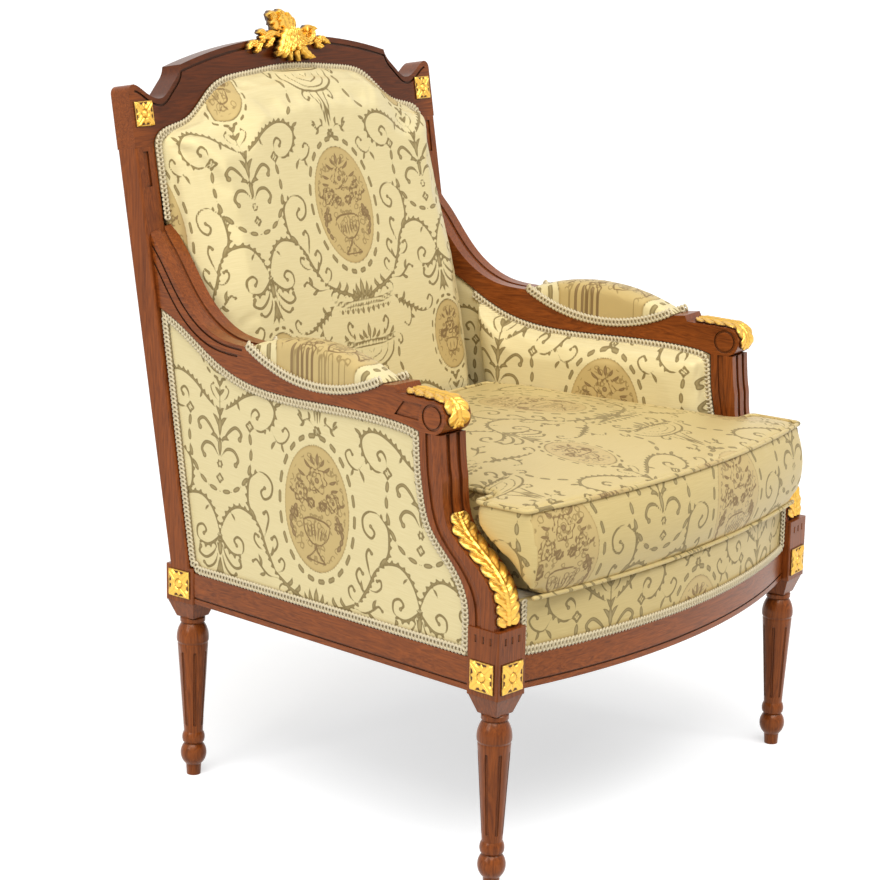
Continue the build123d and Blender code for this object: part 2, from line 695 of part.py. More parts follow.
screw_z = BRACE_BOTTOM + BRACE_HEIGHT / 2


def screw(point, aim, grow=0.0):
    """Countersunk screw whose head lies flush at a point and which runs along aim."""
    frame = Plane(origin=point, z_dir=aim)
    shank = Cylinder(SCREW_RADIUS + grow, SCREW_LENGTH + grow, align=(Align.CENTER, Align.CENTER, Align.MIN))
    head = Cone(
        SCREW_HEAD_RADIUS + grow,
        SCREW_RADIUS + grow,
        SCREW_HEAD_HEIGHT,
        align=(Align.CENTER, Align.CENTER, Align.MIN),
    )
    return frame.location * (shank + head)


def brace_screw_set(grow=0.0):
    """Two screws for each right-hand brace: one into the side rail, one into the cross rail."""
    outwards = SIDE.z_dir
    near_side = Vector(FRONT_INNER_X - 30, FRONT_LEG_Y + 56, screw_z)
    near_front = Vector(FRONT_INNER_X - 62, FRONT_LEG_Y + 24, screw_z)
    rear_side = Vector(REAR_INNER_X - 28, REAR_LEG_Y - 84, screw_z)
    rear_back = Vector(REAR_INNER_X - 66, REAR_LEG_Y - 46, screw_z)
    return [
        screw(near_side, outwards, grow),
        screw(near_front, (0, -1, 0), grow),
        screw(rear_side, outwards, grow),
        screw(rear_back, (0, 1, 0), grow),
    ]


screw_cuts = Compound(brace_screw_set(JOINT_CLEARANCE))
front_brace -= screw_cuts
rear_brace -= screw_cuts
side_rail_right -= screw_cuts
front_seat_rail = front_seat_rail - screw_cuts - mirrored(screw_cuts)
rear_seat_rail = rear_seat_rail - screw_cuts - mirrored(screw_cuts)
screws = brace_screw_set()

save_pair("front_leg", front_leg_right)
save_pair("rear_post", rear_post_right)
save_pair("side_seat_rail", side_rail_right)
save("front_seat_rail", front_seat_rail)
save("rear_seat_rail", rear_seat_rail)
braces = [front_brace, rear_brace]
save("corner_braces", group(braces + [mirrored(b) for b in braces]))
save("brace_screws", group(screws + [mirrored(s) for s in screws]))

# Arms
arm_post_right = arm_post() - arm_dowel(JOINT_CLEARANCE)
arm_rail_right = arm_rail()
save_pair("arm_post", arm_post_right)
save_pair("arm_rail", arm_rail_right)
save("frame_dowels", group([arm_dowel(), mirrored(arm_dowel())]))


# Crest rail and lower back rail
def both_halves(right_edges):
    """Face whose right half lies between some edges and the middle line."""
    start = right_edges[0] @ 0
    end = right_edges[-1] @ 1
    half = profile(*right_edges, Line(end, start))
    return half + mirror(half, about=Plane.YZ)


crest_top_edges = [
    ThreePointArc(
        (0, CREST_APEX), (CREST_SHOULDER_X * 0.55, CREST_APEX - 9), (CREST_SHOULDER_X, CREST_SHOULDER)
    ),
    Spline(
        (CREST_SHOULDER_X, CREST_SHOULDER),
        (CREST_SHOULDER_X + 18, CREST_SHOULDER - 24),
        (CREST_LOW_X, CREST_LOW),
        (CREST_LOW_X + 30, CREST_EAR - 10),
        (STILE_OUTER - 10, CREST_EAR),
        tangents=((0.2, -1), (1, 0.25)),
    ),
    ThreePointArc(
        (STILE_OUTER - 10, CREST_EAR), (STILE_OUTER - 3, CREST_EAR - 3), (STILE_OUTER, CREST_EAR - 10)
    ),
]
crest_edge_curve = Spline(
    (0, CREST_EDGE_APEX),
    (CREST_EDGE_SHOULDER_X * 0.5, CREST_EDGE_APEX - 7),
    (CREST_EDGE_SHOULDER_X - 40, CREST_EDGE_SHOULDER + 21),
    (CREST_EDGE_SHOULDER_X + 22, CREST_EDGE_LOW + 9),
    (CREST_EDGE_LOW_X, CREST_EDGE_LOW),
    (STILE_INNER, STILE_LENGTH),
    tangents=((1, 0), (0.1, -1)),
)
crest_right = crest_top_edges + [
    Line((STILE_OUTER, CREST_EAR - 10), (STILE_OUTER, STILE_LENGTH)),
    Line((STILE_OUTER, STILE_LENGTH), (STILE_INNER, STILE_LENGTH)),
    crest_edge_curve.reversed(),
]
crest_face = both_halves(crest_right)
crest = slab(crest_face, BACK, 0, STILE_DEPTH)
for crest_edge in crest_top_edges[:2]:
    crest_line = trace(Pos(0, -9) * crest_edge, MOULDING_LINE)
    crest_cut = slab(crest_line, BACK, STILE_DEPTH - MOULDING_DEPTH, STILE_DEPTH + 1)
    crest -= crest_cut
    crest -= mirrored(crest_cut)
crest -= stile_tenon(JOINT_CLEARANCE)
crest -= mirrored(stile_tenon(JOINT_CLEARANCE))
save("crest_rail", crest)

lower_rail = back_box(
    -STILE_INNER,
    STILE_INNER,
    LOWER_RAIL_BOTTOM,
    LOWER_RAIL_BOTTOM + LOWER_RAIL_HEIGHT,
    LOWER_RAIL_REAR,
    LOWER_RAIL_REAR + LOWER_RAIL_DEPTH,
)
save("lower_back_rail", lower_rail + lower_rail_tenon() + mirrored(lower_rail_tenon()))


# Carving, glued on: rosettes, leaves and the crest ornament
def rosette(side):
    """Square tile with a four-petalled flower, facing +Z from the XY plane."""
    tile = Pos(0, 0, 1) * Box(side, side, 2)
    tile = chamfer(tile.edges().group_by(Axis.Z)[-1], 0.8)
    reach = side * 0.27
    petal = Pos(reach, 0, 1.5) * scale(Sphere(1), by=(side * 0.22, side * 0.17, ROSETTE_RELIEF - 2))
    flower = Pos(0, 0, 1.5) * scale(Sphere(1), by=(side * 0.13, side * 0.13, ROSETTE_RELIEF - 1.5))
    for turn in range(4):
        flower += Rot(0, 0, 45 + 90 * turn) * petal
    flower &= Pos(0, 0, 5) * Box(side, side, 10)
    return tile + flower


ROSETTE_Z = BLOCK_BOTTOM + 26
side_rosette = SIDE.location * (Pos(0, ROSETTE_Z, HALF_BLOCK) * rosette(LEG_ROSETTE_SIDE))
front_rosette = SIDE.location * (
    Pos(-HALF_BLOCK, ROSETTE_Z, 0) * Rot(0, -90, 0) * rosette(LEG_ROSETTE_SIDE)
)
rear_rosette = Pos(STILE_OUTER, REAR_LEG_Y, ROSETTE_Z) * Rot(0, 90, 0) * rosette(LEG_ROSETTE_SIDE)
crest_rosette = BACK.location * (
    Pos(STILE_OUTER - 22, STILE_LENGTH + CREST_ROSETTE_RISE, STILE_DEPTH) * rosette(CREST_ROSETTE_SIDE)
)
save_pair("front_leg_side_rosette", side_rosette)
save_pair("front_leg_front_rosette", front_rosette)
save_pair("rear_leg_rosette", rear_rosette)
save_pair("crest_rosette", crest_rosette)

leaf_radius = SCROLL_RADIUS + PIECE_GAP + LEAF_THICKNESS / 2
leaf_top = SCROLL_HEIGHT + leaf_radius
scroll_leaf_path = Wire(
    [
        Line((ARM_STEP - 5, leaf_top + 2), (SCROLL_CENTRE, leaf_top)),
        ThreePointArc(
            (SCROLL_CENTRE, leaf_top),
            (SCROLL_CENTRE - leaf_radius * cos(rake), SCROLL_HEIGHT + leaf_radius * sin(rake)),
            (SCROLL_CENTRE - leaf_radius * cos(0.5), SCROLL_HEIGHT - leaf_radius * sin(0.5)),
        ),
    ]
)
arm_leaf = slab(trace(scroll_leaf_path, LEAF_THICKNESS), SIDE, -LEAF_WIDTH / 2, LEAF_WIDTH / 2)
arm_leaf -= arm_rail_right
save_pair("arm_leaf", arm_leaf.solids().sort_by(SortBy.VOLUME)[-1])

leaf_shift = LEAF_THICKNESS / 2 + PIECE_GAP
post_leaf_face = trace(Pos(-leaf_shift, leaf_shift * 0.4) * post_front_curve, LEAF_THICKNESS)
post_leaf = slab(post_leaf_face, SIDE, -LEAF_WIDTH / 2, LEAF_WIDTH / 2)
post_leaf &= side_box(-60, 120, FRONT_BLOCK_TOP + 3, up_post(POST_LEAF_REACH), -LEAF_WIDTH, LEAF_WIDTH)
post_leaf -= arm_post_right
save_pair("post_leaf", post_leaf.solids().sort_by(SortBy.VOLUME)[-1])

ornament_face = Pos(0, CREST_APEX + 1) * Ellipse(34, 34)
for sign in (-1, 1):
    ornament_face += Pos(sign * 50, CREST_APEX - 18) * Rot(0, 0, -14 * sign) * Ellipse(40, 12)
ornament_front = slab(ornament_face, BACK, STILE_DEPTH, STILE_DEPTH + ORNAMENT_RELIEF)
ornament_top = slab(Pos(0, CREST_APEX) * Ellipse(28, 33), BACK, 12, STILE_DEPTH + 1)
ornament_top -= slab(crest_face, BACK, -40, STILE_DEPTH)
save("crest_ornament", ornament_front + ornament_top.solids().sort_by(SortBy.VOLUME)[-1])

# Side upholstery: outside panel, inside pad and the gimp along their edges
side_opening_edges = [
    Line((POST_FOOT_REAR, RAIL_LEDGE), (stile_u(RAIL_LEDGE), RAIL_LEDGE)),
    Line((stile_u(RAIL_LEDGE), RAIL_LEDGE), (stile_u(ARM_LOW_REAR), ARM_LOW_REAR)),
    arm_low_curve,
    post_rear_curve,
    Line((POST_FOOT_REAR, FRONT_BLOCK_TOP), (POST_FOOT_REAR, RAIL_LEDGE)),
]
block_front = REAR_LEG_Y - HALF_BLOCK - HALF_BLOCK * SIDE.z_dir.Y
block_u = (block_front - FRONT_LEG_Y) / SIDE.x_dir.Y - 1
over_block = REAR_BLOCK_TOP + 1
behind_opening = make_face(
    Polyline(
        (block_u, RAIL_BOTTOM),
        (block_u, over_block),
        (stile_u(over_block, 2.5), over_block),
        (stile_u(ARM_TOP_REAR, 2.5), ARM_TOP_REAR),
        (2 * SIDE_LENGTH, ARM_TOP_REAR),
        (2 * SIDE_LENGTH, RAIL_BOTTOM),
        close=True,
    )
)
side_opening = profile(*side_opening_edges) - behind_opening
panel_face = inset(side_opening, PIECE_GAP + 1)
panel_gimp_face = panel_face - inset(side_opening, PIECE_GAP + 1 + GIMP_WIDTH)
panel_inner = RAIL_OUTER - RAIL_REBATE + PIECE_GAP
panel_outer = panel_inner + PANEL_THICKNESS
outside_panel = slab(panel_face, SIDE, panel_inner, panel_outer)
panel_gimp = slab(
    panel_gimp_face, SIDE, panel_outer + PIECE_GAP, panel_outer + PIECE_GAP + GIMP_THICKNESS
)
save_pair("outside_arm_panel", outside_panel)
save_pair("outside_arm_gimp", panel_gimp)

pad_region = side_box(-100, 800, RAIL_TOP + PIECE_GAP, 900, -200, 200)
inside_base = slab(panel_face, SIDE, -PAD_BASE, panel_inner - PIECE_GAP) & pad_region
bulge_face = inset(side_opening, PIECE_GAP + 2 + GIMP_WIDTH)
bulge = slab(bulge_face, SIDE, -PAD_BASE - ARM_PAD_BULGE, -PAD_BASE + 1)
bulge &= side_box(-100, 800, DECK_TOP + 2, 900, -200, 200)
bulge -= back_box(-500, 500, -200, 900, -300, STILE_DEPTH + BACK_PAD_BULGE + 4)
bulge = bulge.solids().sort_by(SortBy.VOLUME)[-1]


def faces_inwards(edge):
    """Edges on the seat side of the arm pad's bulge."""
    return SIDE.to_local_coords(edge @ 0.5).Z < -PAD_BASE - ARM_PAD_BULGE + 1


bulge = fillet(bulge.edges().filter_by(faces_inwards), 14)
save_pair("inside_arm_pad", inside_base + bulge)
inside_gimp = slab(
    panel_gimp_face, SIDE, -PAD_BASE - PIECE_GAP - GIMP_THICKNESS, -PAD_BASE - PIECE_GAP
)
inside_gimp &= side_box(0, stile_u(ARM_LOW_REAR) - 80, DECK_TOP + 2, 900, -200, 200)
inside_gimp -= bulge
save_pair("inside_arm_gimp", inside_gimp.solids().sort_by(SortBy.VOLUME)[-1])

# Arm pads on the arm rails
pad_top_curve = ThreePointArc(
    (ARM_PAD_FRONT, ARM_STEP_HEIGHT - 2),
    ((ARM_PAD_FRONT + ARM_PAD_REAR) / 2, ARM_PAD_TOP),
    (ARM_PAD_REAR, ARM_STEP_HEIGHT + 9),
)
arm_pad_face = profile(arm_dip_curve, pad_top_curve)
arm_pad = slab(Pos(0, PIECE_GAP) * arm_pad_face, SIDE, -HALF_ARM + 1, HALF_ARM - 1)


def on_pad_top(edge):
    middle = SIDE.to_local_coords(edge @ 0.5)
    return middle.Y > ARM_PAD_TOP - 3


arm_pad = fillet(arm_pad.edges().filter_by(on_pad_top), 14)
arm_pad -= side_box(
    ARM_PAD_FRONT + 8 - PIECE_GAP,
    ARM_PAD_REAR - 12 + PIECE_GAP,
    ARM_PAD_DIP - 20,
    ARM_CORE_TOP + PIECE_GAP,
    -ARM_CORE_WIDTH / 2 - PIECE_GAP,
    ARM_CORE_WIDTH / 2 + PIECE_GAP,
)
save_pair("arm_pad", arm_pad)
arm_gimp_band = slab(
    trace(Pos(0, GIMP_WIDTH / 2 + 1) * arm_dip_curve, GIMP_WIDTH), SIDE, -HALF_ARM - 5, HALF_ARM + 5
)
arm_gimp_band &= slab(Pos(0, 1) * arm_pad_face, SIDE, -HALF_ARM - 5, HALF_ARM + 5)
gimp_low = HALF_ARM - 1 + PIECE_GAP
gimp_high = gimp_low + GIMP_THICKNESS
gimp_outer = arm_gimp_band & side_box(0, 700, 300, 900, gimp_low, gimp_high)
gimp_inner = arm_gimp_band & side_box(0, 700, 300, 900, -gimp_high, -gimp_low)
save_pair("arm_pad_gimp", group([gimp_outer, gimp_inner]))

# Back upholstery: pad, webbing, outside panel, gimp
back_opening = both_halves(
    [
        Line((0, BACK_FOOT), (STILE_INNER, BACK_FOOT)),
        Line((STILE_INNER, BACK_FOOT), (STILE_INNER, STILE_LENGTH)),
        crest_edge_curve.reversed(),
    ]
)
back_face = inset(back_opening, PIECE_GAP)
back_inset = inset(back_opening, PIECE_GAP + GIMP_WIDTH + 1)
above_deck = box(-600, 600, -600, 600, DECK_TOP + 2, 1200)
back_base = slab(back_face, BACK, BACK_PAD_REAR, STILE_DEPTH) & above_deck
bulge_foot = 40.0
bulge_head = CREST_EDGE_APEX + 6
bulge_line = Spline(
    (bulge_foot, STILE_DEPTH + BACK_PAD_BULGE * 0.86),
    (200, STILE_DEPTH + BACK_PAD_BULGE),
    (350, STILE_DEPTH + BACK_PAD_BULGE * 0.9),
    (450, STILE_DEPTH + BACK_PAD_BULGE * 0.73),
    (540, STILE_DEPTH + BACK_PAD_BULGE * 0.61),
    (bulge_head, STILE_DEPTH + BACK_PAD_BULGE * 0.46),
)
bulge_side = profile(
    bulge_line,
    Line(bulge_line @ 1, (bulge_head, STILE_DEPTH - 1)),
    Line((bulge_head, STILE_DEPTH - 1), (bulge_foot, STILE_DEPTH - 1)),
    Line((bulge_foot, STILE_DEPTH - 1), bulge_line @ 0),
)
back_bulge_half = STILE_INNER - 22
BULGE_ACROSS = Plane(origin=(-back_bulge_half, 0, 0), x_dir=(0, 1, 0), z_dir=(1, 0, 0))
bulge_prism = BULGE_ACROSS.location * extrude(bulge_side, 2 * back_bulge_half, dir=(0, 0, 1))
back_bulge = extrude(Pos(0, 0, STILE_DEPTH - 1) * back_inset, 200, dir=(0, 0, 1)) & bulge_prism
back_bulge = BACK.location * back_bulge & above_deck


def on_bulge_front(edge):
    """Edges round the front of the back pad."""
    middle = BACK.to_local_coords(edge @ 0.5)
    return middle.Z > STILE_DEPTH + BACK_PAD_BULGE * 0.36 and middle.Y > 80


back_bulge = fillet(back_bulge.edges().filter_by(on_bulge_front), 20)
save("back_pad", back_base + back_bulge)
back_gimp = slab(
    back_face - inset(back_opening, PIECE_GAP + GIMP_WIDTH),
    BACK,
    STILE_DEPTH + PIECE_GAP,
    STILE_DEPTH + PIECE_GAP + GIMP_THICKNESS,
)
gimp_foot = (ARM_TOP_REAR - REAR_BLOCK_TOP) / cos(rake) + 4
back_gimp &= back_box(-400, 400, gimp_foot, 900, -100, 200)
save("back_gimp", back_gimp)

straps = []
for step in (-1.5, -0.5, 0.5, 1.5):
    left = step * 118 - 25
    straps.append(back_box(left, left + 50, LOWER_RAIL_BOTTOM, STILE_LENGTH + 40, 21.6, 23.4))
strap_step = (STILE_LENGTH - 140) / 4
for step in range(4):
    height = 190 + step * strap_step
    straps.append(back_box(-STILE_INNER + 1, STILE_INNER - 1, height, height + 50, 21.6, 23.4))
webbing = straps[0]
for strap in straps[1:]:
    webbing += strap
save("back_webbing", webbing)

above_rear_rail = box(-600, 600, -600, 600, RAIL_LEDGE + 1, 1200)
rear_block = box(REAR_INNER_X - 1, 600, 0, 600, 0, REAR_BLOCK_TOP + 1)
above_rear_rail = above_rear_rail - rear_block - mirrored(rear_block)
save("outside_back_panel", slab(back_face, BACK, 2, 8) & above_rear_rail)
rear_gimp_face = back_face - inset(back_opening, PIECE_GAP + GIMP_WIDTH)
rear_gimp = slab(rear_gimp_face, BACK, 1.6 - GIMP_THICKNESS, 1.6) & above_rear_rail
save("outside_back_gimp", rear_gimp)

# Seat: springs, clips, cloth, deck, front border, dust cover
SPRING_Z = RAIL_TOP + SPRING_WIRE_RADIUS + 0.3


def bow_y(x, setback):
    """Front of the bow at some distance across, set back by some amount."""
    radius = BOW_RADIUS - setback
    return BOW_FRONT_Y + BOW_RADIUS - (radius**2 - x**2) ** 0.5


def sinuous_spring(x):
    """Zigzag wire from the front rail to the rear rail: straight runs joined by half turns."""
    start = bow_y(x, RAIL_THICKNESS - 10)
    length = REAR_LEG_Y - start
    loops = round(length / (2 * SPRING_LOOP_RADIUS))
    turn = length / loops / 2
    reach = SPRING_WIDTH / 2 - turn
    edges = []
    side = 1
    y = start
    edges.append(Line((x - reach, y, SPRING_Z), (x + reach, y, SPRING_Z)))
    for loop in range(loops):
        outer = x + side * (reach + turn)
        diagonal = turn * cos(radians(45))
        corner_x = x + side * reach
        edges.append(
            ThreePointArc(
                (corner_x, y, SPRING_Z),
                (corner_x + side * diagonal, y + turn - diagonal, SPRING_Z),
                (outer, y + turn, SPRING_Z),
            )
        )
        edges.append(
            ThreePointArc(
                (outer, y + turn, SPRING_Z),
                (corner_x + side * diagonal, y + turn + diagonal, SPRING_Z),
                (corner_x, y + 2 * turn, SPRING_Z),
            )
        )
        y += 2 * turn
        edges.append(Line((corner_x, y, SPRING_Z), (x - side * reach, y, SPRING_Z)))
        side = -side
    path = Wire(edges)
    section = Plane(origin=path @ 0, z_dir=path % 0) * Circle(SPRING_WIRE_RADIUS)
    return sweep(section, path)


def spring_clip(x, y):
    """Saddle over the end run of a spring, nailed to the rail."""
    saddle = box(x - 7, x + 7, y - 6, y + 6, RAIL_TOP, SPRING_Z + SPRING_WIRE_RADIUS + 0.9)
    bore = Pos(x, y, SPRING_Z) * Rot(0, 90, 0) * Cylinder(SPRING_WIRE_RADIUS + 0.25, 40)
    slot = box(
        x - 20, x + 20, y - SPRING_WIRE_RADIUS - 0.25, y + SPRING_WIRE_RADIUS + 0.25, RAIL_TOP - 1, SPRING_Z
    )
    return saddle - bore - slot


springs = []
clips = []
for index in range(SPRING_COUNT):
    spring_x = (index - (SPRING_COUNT - 1) / 2) * SPRING_SPACING
    springs.append(sinuous_spring(spring_x))
    clips.append(spring_clip(spring_x, bow_y(spring_x, RAIL_THICKNESS - 10)))
    clips.append(spring_clip(spring_x, REAR_LEG_Y))
save("seat_springs", group(springs))
save("spring_clips", group(clips))


def seat_plan(front_setback, side_limit, rear_y, z0, z1):
    """Flat sheet over the seat, bounded by the bowed front, the two sides and the rear."""
    sheet = box(-500, 500, -500, rear_y, z0, z1)
    right = side_box(-200, 900, z0 - 1, z1 + 1, -1000, side_limit)
    sheet = sheet & right & mirrored(right)
    disc = Cylinder(BOW_RADIUS - front_setback, z1 - z0 + 2)
    return sheet & Pos(0, BOW_FRONT_Y + BOW_RADIUS, (z0 + z1) / 2) * disc


cover_bottom = SPRING_Z + SPRING_WIRE_RADIUS + 1.3
cover_top = cover_bottom + CLOTH_THICKNESS
deck_side = -HALF_ARM - 1
deck_rear = REAR_LEG_Y - HALF_BLOCK - 1
save("spring_cover", seat_plan(18, deck_side - 4, deck_rear, cover_bottom, cover_top))
deck = seat_plan(BORDER_THICKNESS + 1 + PIECE_GAP, deck_side, deck_rear, cover_top + PIECE_GAP, DECK_TOP)
save("seat_deck", deck)

border_face = 3.0
border = bow_ring(border_face, BORDER_THICKNESS + 0.6, RAIL_LEDGE + PIECE_GAP, DECK_TOP)
border &= between_front_blocks(PIECE_GAP + 0.5)
save("front_border", border)
border_gimp = bow_ring(
    border_face - PIECE_GAP - GIMP_THICKNESS,
    border_face - PIECE_GAP,
    RAIL_LEDGE + PIECE_GAP,
    DECK_TOP - 3,
)
border_gimp &= between_front_blocks(PIECE_GAP + 0.5)
middle_gap = between_front_blocks(PIECE_GAP + GIMP_WIDTH)
border_gimp -= middle_gap & box(-600, 600, -600, 600, RAIL_LEDGE + GIMP_WIDTH, 700)
save("front_border_gimp", border_gimp)

dust_cover = seat_plan(8, RAIL_OUTER - 8, REAR_LEG_Y + 4, BLOCK_BOTTOM + 0.2, BLOCK_BOTTOM + 1.6)
front_keep = side_box(
    -HALF_BLOCK - 30, HALF_BLOCK + 1, 200, 400, -HALF_BLOCK - 1, HALF_BLOCK + 30
)
rear_keep = box(REAR_INNER_X - 1, 500, REAR_LEG_Y - HALF_BLOCK - 1, 500, 200, 400)
for keep in (front_keep, rear_keep):
    dust_cover = dust_cover - keep - mirrored(keep)
save("dust_cover", dust_cover)

# Loose cushion: T-shaped, boxed, crowned, with a welt round the top and along the front below
CUSHION_BOTTOM = DECK_TOP + PIECE_GAP
CUSHION_WELT = CUSHION_BOTTOM + CUSHION_WELT_HEIGHT
cushion_side = -PAD_BASE - ARM_PAD_BULGE - CUSHION_ARM_GAP


def at_side(y, outwards):
    """X of the line at some distance out from the side's centre plane, at a given Y."""
    along = (y - FRONT_LEG_Y - outwards * SIDE.z_dir.Y) / SIDE.x_dir.Y
    return FRONT_LEG_SPACING / 2 + along * SIDE.x_dir.X + outwards * SIDE.z_dir.X


CUSHION_HALF_FRONT = at_side(CUSHION_EAR_REAR_Y, cushion_side) + CUSHION_EAR_REACH


def cushion_outline(drawn_in):
    """Plan of the cushion drawn in by some amount, with rounded corners."""
    front = CUSHION_FRONT_Y
    ear = CUSHION_EAR_REAR_Y
    face = both_halves(
        [
            ThreePointArc(
                (0, front - CUSHION_BOW),
                (CUSHION_HALF_FRONT / 2, front - CUSHION_BOW * 0.75),
                (CUSHION_HALF_FRONT, front),
            ),
            Line((CUSHION_HALF_FRONT, front), (CUSHION_HALF_FRONT, ear)),
            Line((CUSHION_HALF_FRONT, ear), (at_side(ear, cushion_side), ear)),
            Line(
                (at_side(ear, cushion_side), ear),
                (at_side(CUSHION_REAR_Y, cushion_side), CUSHION_REAR_Y),
            ),
            Line((at_side(CUSHION_REAR_Y, cushion_side), CUSHION_REAR_Y), (0, CUSHION_REAR_Y)),
        ]
    )
    face = fillet(face.vertices().filter_by(lambda v: abs(v.X) > 1), 12)
    return offset(face, -drawn_in)


sections = []
for drawn_in, level in ((3, 0.0), (0.5, 0.5), (3, 1.0)):
    z = CUSHION_BOTTOM + CUSHION_WELT_HEIGHT * level
    sections.append(Pos(0, 0, z) * cushion_outline(drawn_in))
boxing = loft(sections)
crown = extrude(sections[-1], CUSHION_CROWN + 4, dir=(0, 0, 1))
crown_low = CUSHION_WELT + 1.5
crown_top = CUSHION_WELT + CUSHION_CROWN
front_y = CUSHION_FRONT_Y - CUSHION_BOW


def vault(span_low, span_high, along_x):
    """Tunnel whose roof arches across the seat, to give the cushion its crown."""
    middle = (span_low + span_high) / 2
    roof = profile(
        ThreePointArc((span_low, crown_low), (middle, crown_top), (span_high, crown_low)),
        Line((span_high, crown_low), (span_high, CUSHION_BOTTOM)),
        Line((span_high, CUSHION_BOTTOM), (span_low, CUSHION_BOTTOM)),
        Line((span_low, CUSHION_BOTTOM), (span_low, crown_low)),
    )
    if along_x:
        frame = Plane(origin=(-500, 0, 0), x_dir=(0, 1, 0), z_dir=(1, 0, 0))
    else:
        frame = Plane(origin=(0, 500, 0), x_dir=(1, 0, 0), z_dir=(0, -1, 0))
    return frame.location * extrude(roof, 1000, dir=(0, 0, 1))


crown &= vault(-CUSHION_HALF_FRONT, CUSHION_HALF_FRONT, False)
crown &= vault(front_y, CUSHION_REAR_Y, True)
cushion = boxing + crown

ear_clearance = LEAF_THICKNESS + 5
ear_cut_curve = Pos(-ear_clearance, ear_clearance * 0.4) * post_front_curve
cut_low = ear_cut_curve @ 0
cut_high = ear_cut_curve @ 1
ear_cut_face = profile(
    ear_cut_curve,
    Line(cut_high, (300, cut_high.Y)),
    Line((300, cut_high.Y), (300, 300)),
    Line((300, 300), (cut_low.X, 300)),
    Line((cut_low.X, 300), cut_low),
)
ear_cut = slab(ear_cut_face, SIDE, cushion_side - 1, 100)
cushion = cushion - ear_cut - mirrored(ear_cut)


def ring_round(z, height, outside, inside):
    """Band round the cushion's outline, to be cut away as the seat of a welt."""
    band = cushion_outline(-outside) - cushion_outline(inside)
    return extrude(Pos(0, 0, z - height / 2) * band, height, dir=(0, 0, 1))


def is_level(edge):
    return abs((edge @ 0).Z - (edge @ 1).Z) < 0.01


def tube(wire):
    section = Plane(origin=wire @ 0, z_dir=wire % 0) * Circle(PIPING_RADIUS)
    return sweep(section, wire)


notch = 2 * PIPING_RADIUS + 2 * PIECE_GAP
welt_inside = 2 * PIPING_RADIUS + PIECE_GAP
cushion -= ring_round(CUSHION_WELT, notch, 6, welt_inside)
front_welt_z = CUSHION_BOTTOM + notch / 2
front_notch = ring_round(front_welt_z, notch, 6, welt_inside)
cushion -= front_notch & box(-600, 600, -600, CUSHION_FRONT_Y + 8, 0, 700)
save("seat_cushion", cushion.solids().sort_by(SortBy.VOLUME)[-1])

welt_band = cushion_outline(0.0) - cushion_outline(2 * PIPING_RADIUS)
welt_low = CUSHION_WELT - PIPING_RADIUS
welt = extrude(Pos(0, 0, welt_low) * welt_band, 2 * PIPING_RADIUS, dir=(0, 0, 1))
save("cushion_welt_top", fillet(welt.edges().filter_by(is_level), 0.88 * PIPING_RADIUS))
welt_reach = CUSHION_HALF_FRONT - 16
welt_bow = CUSHION_BOW * (welt_reach / CUSHION_HALF_FRONT) ** 2
front_middle = CUSHION_FRONT_Y - CUSHION_BOW + PIPING_RADIUS
front_welt_line = ThreePointArc(
    (-welt_reach, front_middle + welt_bow, front_welt_z),
    (0, front_middle, front_welt_z),
    (welt_reach, front_middle + welt_bow, front_welt_z),
)
save("cushion_welt_bottom", tube(Wire([front_welt_line])))
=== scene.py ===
import bmesh
import bpy
import numpy as np
from math import cos, hypot, pi, radians, sin
from mathutils import Matrix, Vector, noise
from mathutils.bvhtree import BVHTree


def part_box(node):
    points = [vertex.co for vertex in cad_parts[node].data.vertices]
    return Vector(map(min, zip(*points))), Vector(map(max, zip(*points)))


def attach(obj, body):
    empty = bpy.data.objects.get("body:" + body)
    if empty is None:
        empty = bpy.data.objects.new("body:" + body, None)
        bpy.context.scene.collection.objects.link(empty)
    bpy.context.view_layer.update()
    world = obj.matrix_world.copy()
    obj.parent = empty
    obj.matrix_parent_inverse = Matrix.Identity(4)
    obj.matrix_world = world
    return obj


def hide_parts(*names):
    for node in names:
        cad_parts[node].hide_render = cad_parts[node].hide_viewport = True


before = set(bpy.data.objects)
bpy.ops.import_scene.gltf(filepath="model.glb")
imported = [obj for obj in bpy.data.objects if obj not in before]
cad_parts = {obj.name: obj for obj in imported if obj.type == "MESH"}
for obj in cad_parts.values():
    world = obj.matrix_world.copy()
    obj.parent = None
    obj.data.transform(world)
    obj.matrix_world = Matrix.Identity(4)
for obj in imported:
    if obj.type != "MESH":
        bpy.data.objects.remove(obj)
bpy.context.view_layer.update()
scene = bpy.context.scene

# Camera: a long lens a little above the arms, turned to the chair's left front corner.
# It looks slightly down and is rolled by one degree, as the chair was photographed.
turn = radians(-52.257)
pitch = radians(13.207)
roll = radians(1.004)
towards_eye = Vector((sin(turn) * cos(pitch), -cos(turn) * cos(pitch), sin(pitch)))
level_right = Vector((cos(turn), sin(turn), 0))
level_up = towards_eye.cross(level_right)
eye_right = level_right * cos(roll) + level_up * sin(roll)
eye_up = level_up * cos(roll) - level_right * sin(roll)
eye = bpy.data.objects.new("eye", bpy.data.cameras.new("eye"))
eye.data.lens = 99.9
eye.data.sensor_width = 36.0
eye.matrix_world = Matrix.Translation((-2.580, -1.953, 1.214)) @ Matrix(
    (eye_right, eye_up, towards_eye)
).transposed().to_4x4()
scene.collection.objects.link(eye)
scene.camera = eye
scene.view_settings.view_transform = "Standard"


# Studio: an even white room, a broad soft key from high on the left and two soft boxes, left and front,
# that give the lacquer and the gilding something to shine with. The pale floor keeps the shadow.
def wire(tree, node, inputs):
    """Sets a node's inputs to values or links them to sockets."""
    for name, value in inputs.items():
        if isinstance(value, bpy.types.NodeSocket):
            tree.links.new(value, node.inputs[name])
        else:
            node.inputs[name].default_value = value


